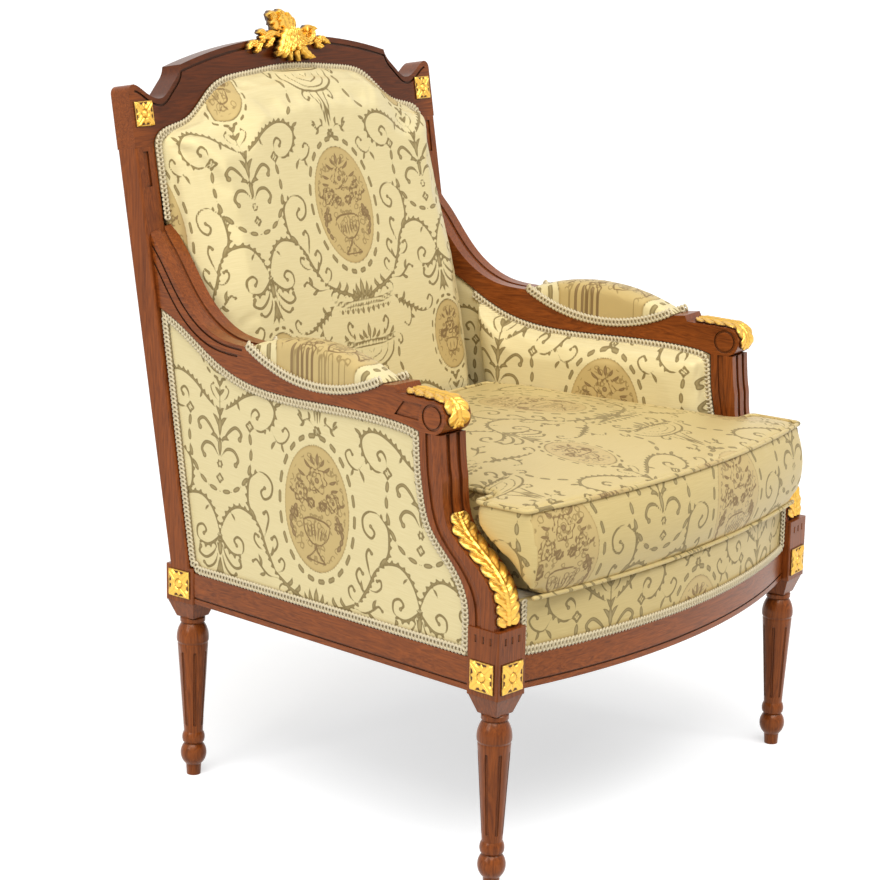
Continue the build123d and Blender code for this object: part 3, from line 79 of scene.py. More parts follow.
def add_node(tree, kind, inputs=None, **settings):
    """New shader node of a kind, with its settings and inputs."""
    node = tree.nodes.new("ShaderNode" + kind)
    for name, value in settings.items():
        setattr(node, name, value)
    wire(tree, node, inputs or {})
    return node


def maths(tree, operation, first, second=0.0):
    """Result of one sum on two values."""
    return add_node(tree, "Math", {0: first, 1: second}, operation=operation).outputs[0]


def ranged(tree, value, low=0.0, high=1.0, to_low=0.0, to_high=1.0, **settings):
    """Value carried over from one range to another and held within it."""
    limits = {"Value": value, "From Min": low, "From Max": high, "To Min": to_low, "To Max": to_high}
    return add_node(tree, "MapRange", limits, clamp=True, **settings).outputs[0]


def sees_white(tree):
    """1 for the rays that see the white background, from the camera, a shine or a glass, and else 0."""
    path = add_node(tree, "LightPath").outputs
    mirrored = maths(tree, "MAXIMUM", path["Is Glossy Ray"], path["Is Transmission Ray"])
    return maths(tree, "MAXIMUM", path["Is Camera Ray"], mirrored)


room = bpy.data.worlds.new("white_room")
room.use_nodes = True
room.node_tree.nodes.clear()
white = (1, 1, 1, 1)
light_only = add_node(room.node_tree, "Background", {"Color": white, "Strength": 0.52})
seen = add_node(room.node_tree, "Background", {"Color": white, "Strength": 1.0})
which = add_node(
    room.node_tree,
    "MixShader",
    {0: sees_white(room.node_tree), 1: light_only.outputs[0], 2: seen.outputs[0]},
)
add_node(room.node_tree, "OutputWorld", {"Surface": which.outputs[0]})
scene.world = room


def aim(lamp, away):
    """Turns a lamp to shine against a direction and puts it in the scene."""
    lamp.rotation_euler = Vector(away).to_track_quat("Z", "Y").to_euler()
    scene.collection.objects.link(lamp)


key = bpy.data.objects.new("key_light", bpy.data.lights.new("key_light", "SUN"))
key.data.energy = 1.8
key.data.angle = radians(38)
aim(key, (-0.50, -0.36, 1.0))
chair_middle = Vector((0, 0, 0.5))
for name, place, size, power in (
    ("left_soft_box", (-2.6, 0.3, 1.9), (1.2, 1.8), 29),
    ("front_soft_box", (0.3, -2.0, 2.6), (1.6, 1.2), 31),
):
    lamp = bpy.data.objects.new(name, bpy.data.lights.new(name, "AREA"))
    lamp.data.shape = "RECTANGLE"
    lamp.data.size, lamp.data.size_y = size
    lamp.data.energy = power
    lamp.location = place
    aim(lamp, Vector(place) - chair_middle)


def new_piece(name, shape):
    """Object made from a bmesh, at the origin; the bmesh is freed."""
    mesh = bpy.data.meshes.new(name)
    shape.to_mesh(mesh)
    shape.free()
    piece = bpy.data.objects.new(name, mesh)
    scene.collection.objects.link(piece)
    return piece


def new_material(name):
    """Empty material with a Principled shader; returns the material, its tree and the shader."""
    material = bpy.data.materials.new(name)
    material.use_nodes = True
    tree = material.node_tree
    tree.nodes.clear()
    shader = add_node(tree, "BsdfPrincipled")
    add_node(tree, "OutputMaterial", {"Surface": shader.outputs[0]})
    return material, tree, shader


flat_ground = bmesh.new()
bmesh.ops.create_grid(flat_ground, x_segments=2, y_segments=2, size=40)
floor = new_piece("studio_floor", flat_ground)
floor_paint, tree, shader = new_material("studio_floor_paint")
speckle = add_node(tree, "TexNoise", {"Scale": 3.0})
wire(
    tree,
    shader,
    {
        "Base Color": ranged(tree, speckle.outputs["Fac"], to_low=0.60, to_high=0.62),
        "Roughness": 0.9,
        "Specular IOR Level": 0.1,
        "Emission Color": white,
        "Emission Strength": maths(tree, "MULTIPLY", sees_white(tree), 0.55),
    },
)
floor.data.materials.append(floor_paint)


# Show wood: solid mahogany legs, posts, arms, seat rails and crest, turned, sawn and moulded, then
# stained reddish brown and lacquered to a satin gloss. The grain runs along each timber.
def linear(red, green, blue):
    """Colour given from 0 to 255, as the linear value a shader takes."""
    channels = [c / 255 for c in (red, green, blue)]
    return [c / 12.92 if c <= 0.04045 else ((c + 0.055) / 1.055) ** 2.4 for c in channels] + [1.0]


def speckled(tree, vector, scale, detail):
    """Noise from 0 to 1."""
    return add_node(tree, "TexNoise", {"Vector": vector, "Scale": scale, "Detail": detail}).outputs["Fac"]


def blend(tree, share, first, second):
    """Colour mixed from two."""
    return add_node(tree, "Mix", {0: share, 6: first, 7: second}, data_type="RGBA").outputs[2]


def group_sockets(name, inputs, outputs):
    """New shader node group with its named sockets; returns its tree, what it is given and what it makes."""
    tree = bpy.data.node_groups.new(name, "ShaderNodeTree")
    for socket, kind, value in inputs:
        made = tree.interface.new_socket(socket, in_out="INPUT", socket_type=kind)
        if value is not None:
            made.default_value = value
    for socket, kind in outputs:
        tree.interface.new_socket(socket, in_out="OUTPUT", socket_type=kind)
    return tree, tree.nodes.new("NodeGroupInput").outputs, tree.nodes.new("NodeGroupOutput").inputs


timber, given, made = group_sockets(
    "timber_grain",
    [
        ("Vector", "NodeSocketVector", None),
        ("Dark", "NodeSocketColor", linear(58, 26, 15)),
        ("Light", "NodeSocketColor", linear(122, 66, 40)),
    ],
    [("Color", "NodeSocketColor"), ("Height", "NodeSocketFloat"), ("Roughness", "NodeSocketFloat")],
)
broad = add_node(timber, "TexNoise", {"Vector": given["Vector"], "Scale": 18.0, "Detail": 3.0})
bent = add_node(
    timber, "VectorMath", {0: given["Vector"], 1: broad.outputs["Color"]}, operation="ADD"
)
figure = add_node(
    timber, "TexNoise", {"Vector": bent.outputs[0], "Scale": 46.0, "Detail": 6.0, "Roughness": 0.62}
)
pores = speckled(timber, given["Vector"], 420.0, 2.0)
streaks = maths(timber, "MULTIPLY", figure.outputs["Fac"], 0.75)
clouds = maths(timber, "MULTIPLY", broad.outputs["Fac"], 0.25)
depth = maths(timber, "ADD", streaks, clouds)
stain = blend(timber, ranged(timber, depth, 0.34, 0.66), given["Dark"], given["Light"])
pore_mask = ranged(timber, pores, 0.56, 0.72, 1.0, 0.72)
darkened = add_node(timber, "VectorMath", {0: stain, "Scale": pore_mask}, operation="SCALE")
sheen = ranged(timber, broad.outputs["Fac"], to_low=0.25, to_high=0.38)
timber.links.new(darkened.outputs[0], made["Color"])
timber.links.new(pore_mask, made["Height"])
timber.links.new(sheen, made["Roughness"])


def bumped(tree, height, strength, distance, **under):
    """Surface direction with a fine relief on it."""
    return add_node(
        tree, "Bump", {"Height": height, "Strength": strength, "Distance": distance, **under}
    ).outputs[0]


def own_place(tree):
    """Where a spot lies in the piece's own frame, in metres."""
    return add_node(tree, "TexCoord").outputs["Object"]


def wood_finish(name, along, dark, light, coat, middle=None):
    """Timber with its grain stretched along one axis under a coat of lacquer, with painted shade darkening
    its grooves. Where middle gives two darker tones, they hold between the ears of the crest."""
    material, tree, shader = new_material(name)
    place = own_place(tree)
    if middle:
        spot = add_node(tree, "SeparateXYZ", {0: place})
        aside = maths(tree, "ABSOLUTE", spot.outputs["X"])
        ear_from, ear_to = 0.262, 0.306
        outer = ranged(tree, aside, ear_from, ear_to)
        dark = blend(tree, outer, middle[0], dark)
        light = blend(tree, outer, middle[1], light)
    stretch = [1.0, 1.0, 1.0]
    stretch[along] = 0.07
    laid = add_node(tree, "Mapping", {"Vector": place, "Scale": stretch})
    grain = add_node(
        tree,
        "Group",
        node_tree=timber,
        inputs={"Vector": laid.outputs[0], "Dark": dark, "Light": light},
    )
    round_edge = add_node(tree, "Bevel", {"Radius": 0.0014}, samples=4)
    relief = bumped(tree, grain.outputs["Height"], 0.12, 0.0006, Normal=round_edge.outputs[0])
    # Painted shade: ambient occlusion turns the wood near black brown in grooves, flutes and tight corners.
    groove_shade_ao = add_node(tree, "AmbientOcclusion", {"Distance": 0.007}, samples=6, only_local=True)
    unshaded_share = ranged(tree, groove_shade_ao.outputs["AO"], 0.35, 0.85)
    wire(
        tree,
        shader,
        {
            "Base Color": blend(tree, unshaded_share, linear(38, 14, 5), grain.outputs["Color"]),
            "Roughness": grain.outputs["Roughness"],
            "Normal": relief,
            "Specular IOR Level": 0.28,
            "Specular Tint": linear(255, 205, 160),
            "Coat Tint": linear(255, 232, 205),
            "Coat Weight": coat,
            "Coat Roughness": 0.16,
        },
    )
    return material


def finish(material, *nodes):
    """Gives CAD nodes a material."""
    for node in nodes:
        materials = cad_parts[node].data.materials
        materials.clear()
        materials.append(material)


mahogany = (linear(90, 41, 15), linear(143, 75, 29))
shaded_mahogany = (linear(58, 22, 6), linear(98, 44, 14))
lacquer = 0.2
upright_mahogany = wood_finish("mahogany_upright", 2, *mahogany, lacquer)
deep_mahogany = wood_finish("mahogany_front_to_back", 1, *mahogany, lacquer)
across_mahogany = wood_finish("mahogany_across", 0, *mahogany, lacquer)
crest_mahogany = wood_finish("mahogany_crest", 0, *mahogany, lacquer, shaded_mahogany)
sides = ("left", "right")
for side in sides:
    finish(upright_mahogany, f"front_leg_{side}", f"rear_post_{side}", f"arm_post_{side}")
    finish(deep_mahogany, f"arm_rail_{side}", f"side_seat_rail_{side}")
finish(across_mahogany, "front_seat_rail", "rear_seat_rail")
finish(crest_mahogany, "crest_rail")

# Hidden timber: the rail that the back is webbed to, the corner braces screwed inside the seat and
# the arm pegs, all of plain beech left unfinished.
plain_beech = wood_finish("beech_across", 0, linear(150, 112, 72), linear(198, 164, 118), 0.0)
finish(plain_beech, "lower_back_rail", "corner_braces", "frame_dowels")

# Seat fittings: zigzag springs of blued steel wire held in pressed steel clips, and the countersunk
# screws of the corner braces.
blued_steel, tree, shader = new_material("blued_spring_steel")
bloom = speckled(tree, own_place(tree), 160.0, 4.0)
wire(
    tree,
    shader,
    {
        "Base Color": blend(tree, bloom, linear(70, 72, 80), linear(142, 140, 138)),
        "Roughness": ranged(tree, bloom, to_low=0.28, to_high=0.52),
        "Metallic": 1.0,
    },
)
finish(blued_steel, "seat_springs", "spring_clips", "brace_screws")


# Corner rosettes: small square tiles of carved limewood with a four-leaved flower, gilded and rubbed
# back. The brown in their hollows is partly a toning wash and partly painted shade. One is glued to
# each show face of the leg blocks and to each ear of the crest.
def gold_leaf(name, bright, hollow_toning_and_shade):
    """Water gilding whose hollows, read from the carving's own depth, turn dark brown: partly a toning wash
    and partly painted shade.
    """
    material, tree, shader = new_material(name)
    carved = add_node(tree, "Attribute", attribute_name="carved_depth")
    worn = speckled(tree, own_place(tree), 260.0, 5.0)
    sway = maths(tree, "MULTIPLY", maths(tree, "SUBTRACT", worn, 0.5), 0.55)
    # Low in the carving the gold turns to the dark tone and loses its metal: partly toning, partly painted
    # shade.
    gilt = ranged(tree, maths(tree, "ADD", carved.outputs["Fac"], sway), 0.12, 0.52)
    wire(
        tree,
        shader,
        {
            "Base Color": blend(tree, gilt, hollow_toning_and_shade, bright),
            "Metallic": ranged(tree, gilt, to_low=0.35, to_high=0.9),
            "Roughness": ranged(tree, worn, to_low=0.22, to_high=0.42),
            "Normal": bumped(tree, worn, 0.25, 0.0006),
        },
    )
    return material


def carved_sheet(columns, rows, face):
    """Closed carving: face(s, t, behind) lays the front and the back of a grid, s and t from -1 to 1,
    and returns a point with the depth of the carving there, from 0 in the hollows to 1."""
    shape = bmesh.new()
    depth = shape.verts.layers.float.new("carved_depth")
    bmesh.ops.create_grid(shape, x_segments=columns, y_segments=rows, size=1)
    grown = bmesh.ops.extrude_face_region(shape, geom=shape.faces[:], use_keep_orig=True)
    in_front = {v for v in grown["geom"] if isinstance(v, bmesh.types.BMVert)}
    for vert in shape.verts:
        vert.co, vert[depth] = face(vert.co.x, vert.co.y, vert not in in_front)
    bmesh.ops.recalc_face_normals(shape, faces=shape.faces[:])
    for flat in shape.faces:
        flat.smooth = True
    return shape


def petal_height(along, across, length, half_width, height):
    """Height of one leaf lying along an axis, with a groove down its middle and a scalloped edge."""
    share = along / length
    if not 0.0 < share < 1.0:
        return 0.0
    edge = half_width * sin(pi * share ** 0.85) ** 0.7 * (1 + 0.16 * cos(5 * pi * share))
    if abs(across) >= edge:
        return 0.0
    swell = height * (1 - (across / edge) ** 2) ** 0.5
    return swell * (1 - 0.45 * np.exp(-((across / (0.16 * half_width)) ** 2)))


def rosette(side):
    """Tile of a given side in metres, carved on its upper face and flat below."""
    half = side / 2
    ground_height = 0.0012
    rim_height = 0.0021

    def face(s, t, behind):
        x, y = s * half, t * half
        if behind:
            return Vector((x, y, 0.0)), 0.0
        rim = max(abs(s), abs(t))
        height = rim_height if rim > 0.9 else ground_height
        for quarter in range(4):
            for bearing, length, width, rise in (
                (pi / 4, 0.66 * side, 0.19 * side, 0.0030),
                (0.0, 0.45 * side, 0.10 * side, 0.0022),
            ):
                way = bearing + quarter * pi / 2
                along = x * cos(way) + y * sin(way)
                across = y * cos(way) - x * sin(way)
                height = max(height, ground_height + petal_height(along, across, length, width, rise))
        middle = hypot(x, y) / (0.14 * side)
        if middle < 1.0:
            height = max(height, 0.0019 + 0.0031 * (1 - middle**2) ** 0.5)
        elif middle < 1.35:
            height = min(height, 0.0017)
        if rim > 0.97:
            height = min(height, 0.0015)
        return Vector((x, y, height)), (height - 0.0011) / 0.0024

    return carved_sheet(44, 44, face)


def stand_for(piece, body, slot, node):
    """Hides the CAD node that a piece stands for and hangs the piece on the body it rides on; slot is not
    used.
    """
    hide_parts(node)
    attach(piece, body)


def set_on(shape, place, node):
    """Moves a carving to its place and, mirrored, to the other side of the chair."""
    right = shape.copy()
    bmesh.ops.transform(right, matrix=place, verts=right.verts[:])
    left = right.copy()
    bmesh.ops.scale(left, vec=(-1, 1, 1), verts=left.verts[:])
    bmesh.ops.recalc_face_normals(left, faces=left.faces[:])
    shape.free()
    for half, side in ((right, "right"), (left, "left")):
        carving = new_piece(f"gilt_{node}_{side}", half)
        carving.data.materials.append(bright_gilding)
        stand_for(carving, "frame", "gilt_carving", f"{node}_{side}")


# The second colour is the tone of the hollows: partly a toning wash and partly painted shade.
bright_gilding = gold_leaf("bright_gilding", linear(242, 192, 88), linear(80, 44, 14))
front_leg = Vector((0.335, -0.306, 0.0))
rear_leg = Vector((0.289, 0.237, 0.0))
side_run = (rear_leg - front_leg).normalized()
side_out = Vector((side_run.y, -side_run.x, 0.0))
upwards = Vector((0, 0, 1))
rake = radians(9.2)
back_up = Vector((0, sin(rake), cos(rake)))
back_front = Vector((0, -cos(rake), sin(rake)))
back_foot = Vector((0, 0.2546, 0.300))
block_half = 0.025
rosette_level = 0.276


def facing(origin, x_way, y_way, out):
    """Matrix that lays a flat carving at a point with its face outwards."""
    return Matrix.Translation(origin) @ Matrix((x_way, y_way, out)).transposed().to_4x4()


level = upwards * rosette_level
sideways = Vector((1, 0, 0))
rearwards = Vector((0, 1, 0))
side_face = front_leg + side_out * block_half + level
front_face = front_leg - side_run * block_half + level
rear_face = rear_leg + sideways * block_half + level
ear_face = back_foot + sideways * 0.292 + back_up * 0.596 + back_front * 0.034
for node, tile_side, place in (
    ("front_leg_side_rosette", 0.038, facing(side_face, side_run, upwards, side_out)),
    ("front_leg_front_rosette", 0.038, facing(front_face, side_out, upwards, -side_run)),
    ("rear_leg_rosette", 0.038, facing(rear_face, rearwards, upwards, sideways)),
    ("crest_rosette", 0.033, facing(ear_face, sideways, back_up, back_front)),
):
    set_on(rosette(tile_side), place, node)


# Acanthus leaves: one climbs the front of each arm post from the leg block, one lies over each arm
# scroll. They are carved in limewood with overlapping lobes either side of a rib, glued on and gilded.
def acanthus(spine, half_width, lobes, thick, taper):
    """Leaf along spine(share), which gives a point and the way out of the timber there."""
    lobe_slant = 1.1
    notch_depth = 0.30

    def face(s, t, behind):
        share = (s + 1) / 2
        point, out = spine(share)
        lobe = (share * lobes - lobe_slant * abs(t)) % 1.0
        notch = 1 - notch_depth * (1 - sin(pi * lobe)) ** 2
        wide = half_width * notch * min(1.0, 0.25 + taper(share))
        across = point + side_out * (t * wide)
        if behind:
            return across + out * 0.0003, 0.0
        ridge = sin(pi * lobe) ** 0.8 * min(1.0, 2.2 * abs(t))
        rib = np.exp(-((t / 0.09) ** 2))
        fall = (1 - abs(t) ** 2.6) ** 0.5 if abs(t) < 1 else 0.0
        rise = (0.30 + 0.42 * ridge + 0.42 * rib) * (0.25 + 0.75 * fall) * min(1.0, 0.3 + taper(share))
        vein = 0.16 * sin(lobes * 6 * pi * share - 9 * abs(t)) * (1 - rib) * fall
        return across + out * (0.0008 + thick * max(0.02, rise + 0.35 * vein)), rise * 1.25 + 0.5 * vein

    return carved_sheet(150, 26, face)


post = bmesh.new()
post.from_mesh(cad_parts["arm_post_right"].data)
post_face = BVHTree.FromBMesh(post)
post.free()
block_top = 0.337


def post_point(height):
    """Where the front of the arm post is at a height."""
    start = front_leg - side_run * 0.2 + upwards * height
    return post_face.ray_cast(start, side_run)[0]


def post_spine(share):
    """Up the front of the arm post from the top of the leg block."""
    leaf_length = 0.123
    height = block_top + 0.002 + share * leaf_length
    step = 0.004
    below = post_point(max(block_top, height - step))
    above = post_point(height + step)
    along = (above - below).normalized()
    return post_point(height), side_out.cross(along)


def arm_spine(share):
    """From the step of the arm forward over the top and round the nose of the scroll."""
    run = 0.054
    radius = 0.0204
    reach = run + radius * 2.05
    gone = share * reach
    centre = front_leg + side_run * 0.089 + upwards * 0.577
    if gone < run:
        return centre + side_run * (run - gone) + upwards * (radius + 0.002 * (1 - gone / run)), upwards
    angle = (gone - run) / radius
    out = upwards * cos(angle) - side_run * sin(angle)
    return centre + out * radius, out


set_on(
    acanthus(post_spine, 0.0205, 9, 0.0072, lambda share: 1.0 - 0.62 * share**5),
    Matrix.Identity(4),
    "post_leaf",
)
set_on(
    acanthus(
        arm_spine, 0.0200, 6, 0.0068, lambda share: 0.45 + 0.6 * sin(pi * min(1.0, share * 1.02)) ** 0.6
    ),
    Matrix.Identity(4),
    "arm_leaf",
)


# Crest ornament: a carved spray on the middle of the crest. A plume stands over long falling leaves,
# with a volute to the right, two bell drops and a leaf tail below and a flowering branch to each side.
def flowing(points, steps=5):
    """Points of a smooth line through a few given ones."""
    points = [np.array(p, float) for p in points]
    ends = [2 * points[0] - points[1]] + points + [2 * points[-1] - points[-2]]
    line = []
    for a, b, c, d in zip(ends, ends[1:], ends[2:], ends[3:]):
        for t in np.arange(steps) / steps:
            bend = (2 * a - 5 * b + 4 * c - d) * t**2 + (3 * b - a - 3 * c + d) * t**3
            line.append(0.5 * (2 * b + (c - a) * t + bend))
    return line + [points[-1]]


apex = 0.685
crest_front = 0.0372


def on_crest(across, up, height):
    """Point given in mm across and above the top of the crest, and in metres forward of its rear face."""
    return back_foot + Vector((across / 1000, 0, 0)) + back_up * (apex + up / 1000) + back_front * height


def frond(points, half_width, low, rise, curl=0.0, lobes=4.0):
    """Leaf along a smooth line, in mm, with a scalloped edge and a groove down its middle; it stands
    a rise above its low side and curls forward at the tip."""
    line = np.array(flowing(points, 10))
    places = np.linspace(0, 1, len(line))

    def face(s, t, behind):
        share = (s + 1) / 2
        middle, ahead = (
            np.array([np.interp(p, places, line[:, axis]) for axis in (0, 1)]) for p in (share, share + 0.02)
        )
        way = ahead - middle if share < 0.98 else line[-1] - line[-2]
        aside = np.array((-way[1], way[0])) / np.hypot(*way)
        scallop = 1 + 0.15 * cos(2 * pi * lobes * share - 2.0 * abs(t))
        wide = half_width * max(0.06, sin(pi * min(1.0, 0.16 + 0.84 * share)) ** 0.7) * scallop
        spot = middle + aside * (t * wide)
        bulge = (1 - t * t) ** 0.5 if abs(t) < 1 else 0.0
        groove = np.exp(-((t / 0.16) ** 2))
        lines = 0.22 * cos(7 * t + 2 * pi * lobes * share)
        height = low + curl * share**2
        if behind:
            return on_crest(*spot, height - 0.0035), 0.0
        height += rise * (0.30 + 0.70 * bulge - 0.34 * groove + 0.5 * lines * bulge)
        return on_crest(*spot, height), 0.35 + 0.55 * bulge - 0.5 * groove + lines

    return carved_sheet(26, 10, face)


def blossom(across, up, radius, low):
    """Five-petalled flower with a round heart, its radius in mm."""

    def face(s, t, behind):
        x, y = s * (1 - t * t / 2) ** 0.5, t * (1 - s * s / 2) ** 0.5
        away, turn = hypot(x, y), np.arctan2(y, x)
        petal = abs(cos(2.5 * turn))
        spread = radius * (0.72 + 0.28 * petal)
        rise = 0.0062 * (0.35 + 0.65 * petal) * sin(pi * min(1.0, 0.15 + 0.85 * away)) ** 0.6
        if away < 0.3:
            rise = 0.0028 + 0.0042 * (1 - (away / 0.3) ** 2) ** 0.5
        height = low - 0.0035 if behind else low + rise
        return on_crest(across + spread * x, up + spread * y, height), 0.0 if behind else rise / 0.0062

    return carved_sheet(18, 18, face)


over_top = 0.027
volute = [(15, 8), (21, -3), (33, -9), (45, -4), (45, 7), (35, 9), (31, 2)]
spray = [
    frond([(2, -10), (-6, 10), (-20, 26), (-33, 31)], 12, over_top, 0.011, 0.006, 5),
    frond([(4, -8), (2, 12), (-8, 28), (-17, 33)], 11, over_top + 0.003, 0.011, 0.006, 5),
    frond([(6, -6), (10, 12), (8, 24), (1, 31)], 10, over_top + 0.002, 0.010, 0.005, 5),
    frond([(8, -8), (18, 8), (20, 18), (15, 25)], 8, over_top, 0.009, 0.004, 4),
    frond([(-4, 8), (-10, -2), (-17, -14), (-28, -24), (-34, -22)], 7, crest_front + 0.002, 0.010, 0.003, 5),
    frond([(0, 8), (-4, -6), (-10, -18), (-18, -27), (-24, -25)], 6, crest_front + 0.003, 0.010, 0.002, 4),
    frond([(3, 8), (2, -6), (0, -16), (-6, -23)], 7, crest_front + 0.004, 0.011, 0.001, 4),
    frond([(7, 8), (9, -4), (12, -14), (10, -22)], 7, crest_front + 0.003, 0.011, 0.001, 4),
    frond([(10, 6), (16, -4), (22, -12), (33, -15)], 7, crest_front + 0.001, 0.010, 0.002, 5),
    frond([(14, -10), (24, -18), (36, -29), (46, -34)], 6.5, crest_front, 0.009, 0.002, 5),
    frond(volute, 5.0, crest_front + 0.002, 0.011, 0.001, 8),
    frond([(0, -20), (-1, -26), (0, -35)], 4.0, crest_front, 0.008, 0.0, 1),
    frond([(13, -20), (14, -27), (16, -37)], 4.0, crest_front, 0.008, 0.0, 1),
]
for hand in (-1, 1):
    for across, up, radius in ((38, 1, 8), (52, -3, 7), (66, -9, 6.5)):
        spray.append(blossom(hand * across, up, radius, crest_front))
    for stem in (
        [(14, 0), (30, 4), (46, 0), (60, -7)],
        [(44, 2), (52, 7), (61, 6)],
        [(30, -2), (40, -11), (50, -13)],
        [(56, -8), (64, -17), (72, -19)],
        [(66, -6), (76, -9), (85, -16)],
    ):
        spray.append(frond([(hand * u, v) for u, v in stem], 4.6, crest_front - 0.001, 0.007, 0.001, 3))
bouquet = bmesh.new()
bouquet.verts.layers.float.new("carved_depth")
for sprig in spray:
    loose = bpy.data.meshes.new("loose_leaf")
    sprig.to_mesh(loose)
    sprig.free()
    bouquet.from_mesh(loose)
    bpy.data.meshes.remove(loose)
ornament = new_piece("gilt_crest_ornament", bouquet)
ornament.data.materials.append(bright_gilding)
stand_for(ornament, "frame", "gilt_carving", "crest_ornament")


# Damask: a silk furnishing cloth, champagne ground with olive scrollwork woven in, repeated every
# 360 mm across and 390 mm up. It is drawn once as a half repeat, in mm from the middle of the big
# medallion, that mirrors at both of its sides and follows on above and below.
repeat_half = 180
repeat_height = 390
drawn_low, drawn_high = -290, 170
tile_u, tile_v = np.meshgrid(np.arange(repeat_half + 1.0), np.arange(drawn_low, drawn_high + 0.0))


def stretch_of(line):
    """The part of the drawing that lies within 12 mm of a line."""
    low = np.min(line, axis=0) - 12
    high = np.max(line, axis=0) + 13
    columns = slice(*np.clip([low[0], high[0]], 0, repeat_half + 1).astype(int))
    rows = slice(*(np.clip([low[1], high[1]], drawn_low, drawn_high) - drawn_low).astype(int))
    return rows, columns


def brushed(points, half_width, taper=(0.35, 0.35)):
    """Distance from every spot of the drawing to a brush line that swells in the middle."""
    line = flowing(points)
    shares = np.linspace(0, 1, len(line))
    width = [half_width * min(1.0, taper[0] + 2.2 * s, taper[1] + 2.2 * (1 - s)) for s in shares]
    nearest = np.full(tile_u.shape, 99.0)
    for p, q, w0, w1 in zip(line, line[1:], width, width[1:]):
        near = stretch_of([p, q])
        du, dv = tile_u[near] - p[0], tile_v[near] - p[1]
        run = q - p
        share = np.clip((du * run[0] + dv * run[1]) / (run @ run + 1e-9), 0, 1)
        gap = np.hypot(du - share * run[0], dv - share * run[1]) - w0 - share * (w1 - w0)
        nearest[near] = np.minimum(nearest[near], gap)
    return nearest


def least(*shapes):
    """All of several shapes together."""
    return np.minimum.reduce(shapes)


def leaf(base, tip, half_width, bend=0.0):
    """Pointed leaf, bent to one side."""
    base, tip = np.array(base, float), np.array(tip, float)
    run = tip - base
    middle = (base + tip) / 2 + np.array((-run[1], run[0])) * bend
    return brushed([base, middle, tip], half_width, (0.25, 0.05))


def tendril(points, half_width):
    """Line that ends in a round bud."""
    end = points[-1]
    bud = np.hypot(tile_u - end[0], tile_v - end[1]) - 1.5 * half_width
    return least(brushed(points, half_width, (0.3, 0.8)), bud)


def steps_along(points, pitch):
    """Even steps along a line: each place with the way forward there and the length of a step."""
    line = np.array(flowing(points, 24))
    gone = np.concatenate(([0.0], np.cumsum(np.hypot(*np.diff(line, axis=0).T))))
    count = max(1, int(gone[-1] / pitch))
    for k in range(count):
        here, ahead = (
            np.array([np.interp((k + part) * gone[-1] / count, gone, line[:, axis]) for axis in (0, 1)])
            for part in (0.3, 0.5)
        )
        way = (ahead - here) / np.hypot(*(ahead - here))
        yield here, way, gone[-1] / count


def leafy(points, half_width, side, size=9.0, pitch=9.0):
    """Acanthus stem: a brush line with small leaves that spring from one side, 1 left and -1 right."""
    stem = brushed(points, half_width, (0.5, 0.4))
    for here, way, _ in steps_along(points, pitch):
        out = side * np.array((-way[1], way[0]))
        stem = least(stem, leaf(here, here + size * (0.66 * way + 0.72 * out), 2.5, -0.18 * side))
    return stem


def husks(points, half_width, pitch=9.0):
    """Chain of little husks along a line, a bead between each two."""
    chain = np.full(tile_u.shape, 99.0)
    for here, way, step in steps_along(points, pitch):
        bead = here + 0.62 * step * way
        chain = least(
            chain,
            brushed([here - 0.27 * step * way, here + 0.33 * step * way], half_width, (0.35, 0.8)),
            np.hypot(tile_u - bead[0], tile_v - bead[1]) - 0.42 * half_width,
        )
    return chain


def oval(eye, half_u, half_v):
    """Distance from an oval's edge, negative inside."""
    share = np.hypot((tile_u - eye[0]) / half_u, (tile_v - eye[1]) / half_v)
    return (share - 1) * min(half_u, half_v)


def flower(eye, radius, petals):
    """Open flower: a wavy ring of petals round a dark heart."""
    du, dv = tile_u - eye[0], tile_v - eye[1]
    away = np.hypot(du, dv)
    rim = radius * (0.82 + 0.18 * np.cos(petals * np.arctan2(dv, du)))
    return least(np.abs(away - 0.72 * rim) - 0.26 * radius, away - 0.2 * radius)


def rose(eye, radius):
    """Full rose: two wavy rings of petals drawn in line, and its heart."""
    du, dv = tile_u - eye[0], tile_v - eye[1]
    away = np.hypot(du, dv)
    turn = np.arctan2(dv, du)
    outer = radius * (0.88 + 0.12 * np.cos(7 * turn))
    inner = radius * (0.55 + 0.07 * np.cos(5 * turn + 1))
    return least(np.abs(away - outer) - 1.5, np.abs(away - inner) - 1.3, away - 0.24 * radius)


# Medallions: a large one edged with cord in a ring of husks, a small one between the repeats
large_half_u, large_half_v = 57.5, 81.5
small_half_u, small_half_v = 36, 50
small_eye = (repeat_half, -206)
large_turn = np.arctan2(tile_v / large_half_v, tile_u / large_half_u)
small_turn = np.arctan2((tile_v - small_eye[1]) / small_half_v, (tile_u - small_eye[0]) / small_half_u)
large_edge = oval((0, 0), large_half_u, large_half_v)
small_edge = oval(small_eye, small_half_u, small_half_v)
medallion_fill = least(large_edge, small_edge)
outlines = least(
    np.abs(large_edge) - 1.3 * (0.75 + 0.25 * np.cos(90 * large_turn)),
    np.abs(oval((0, 0), 67, 93.5)) - np.minimum(3.0, 3.4 + 5.6 * np.cos(22 * large_turn)),
    np.abs(small_edge) - 1.3,
    np.abs(oval(small_eye, 42, 57)) - np.minimum(2.0, 2.2 + 3.6 * np.cos(18 * small_turn)),
)

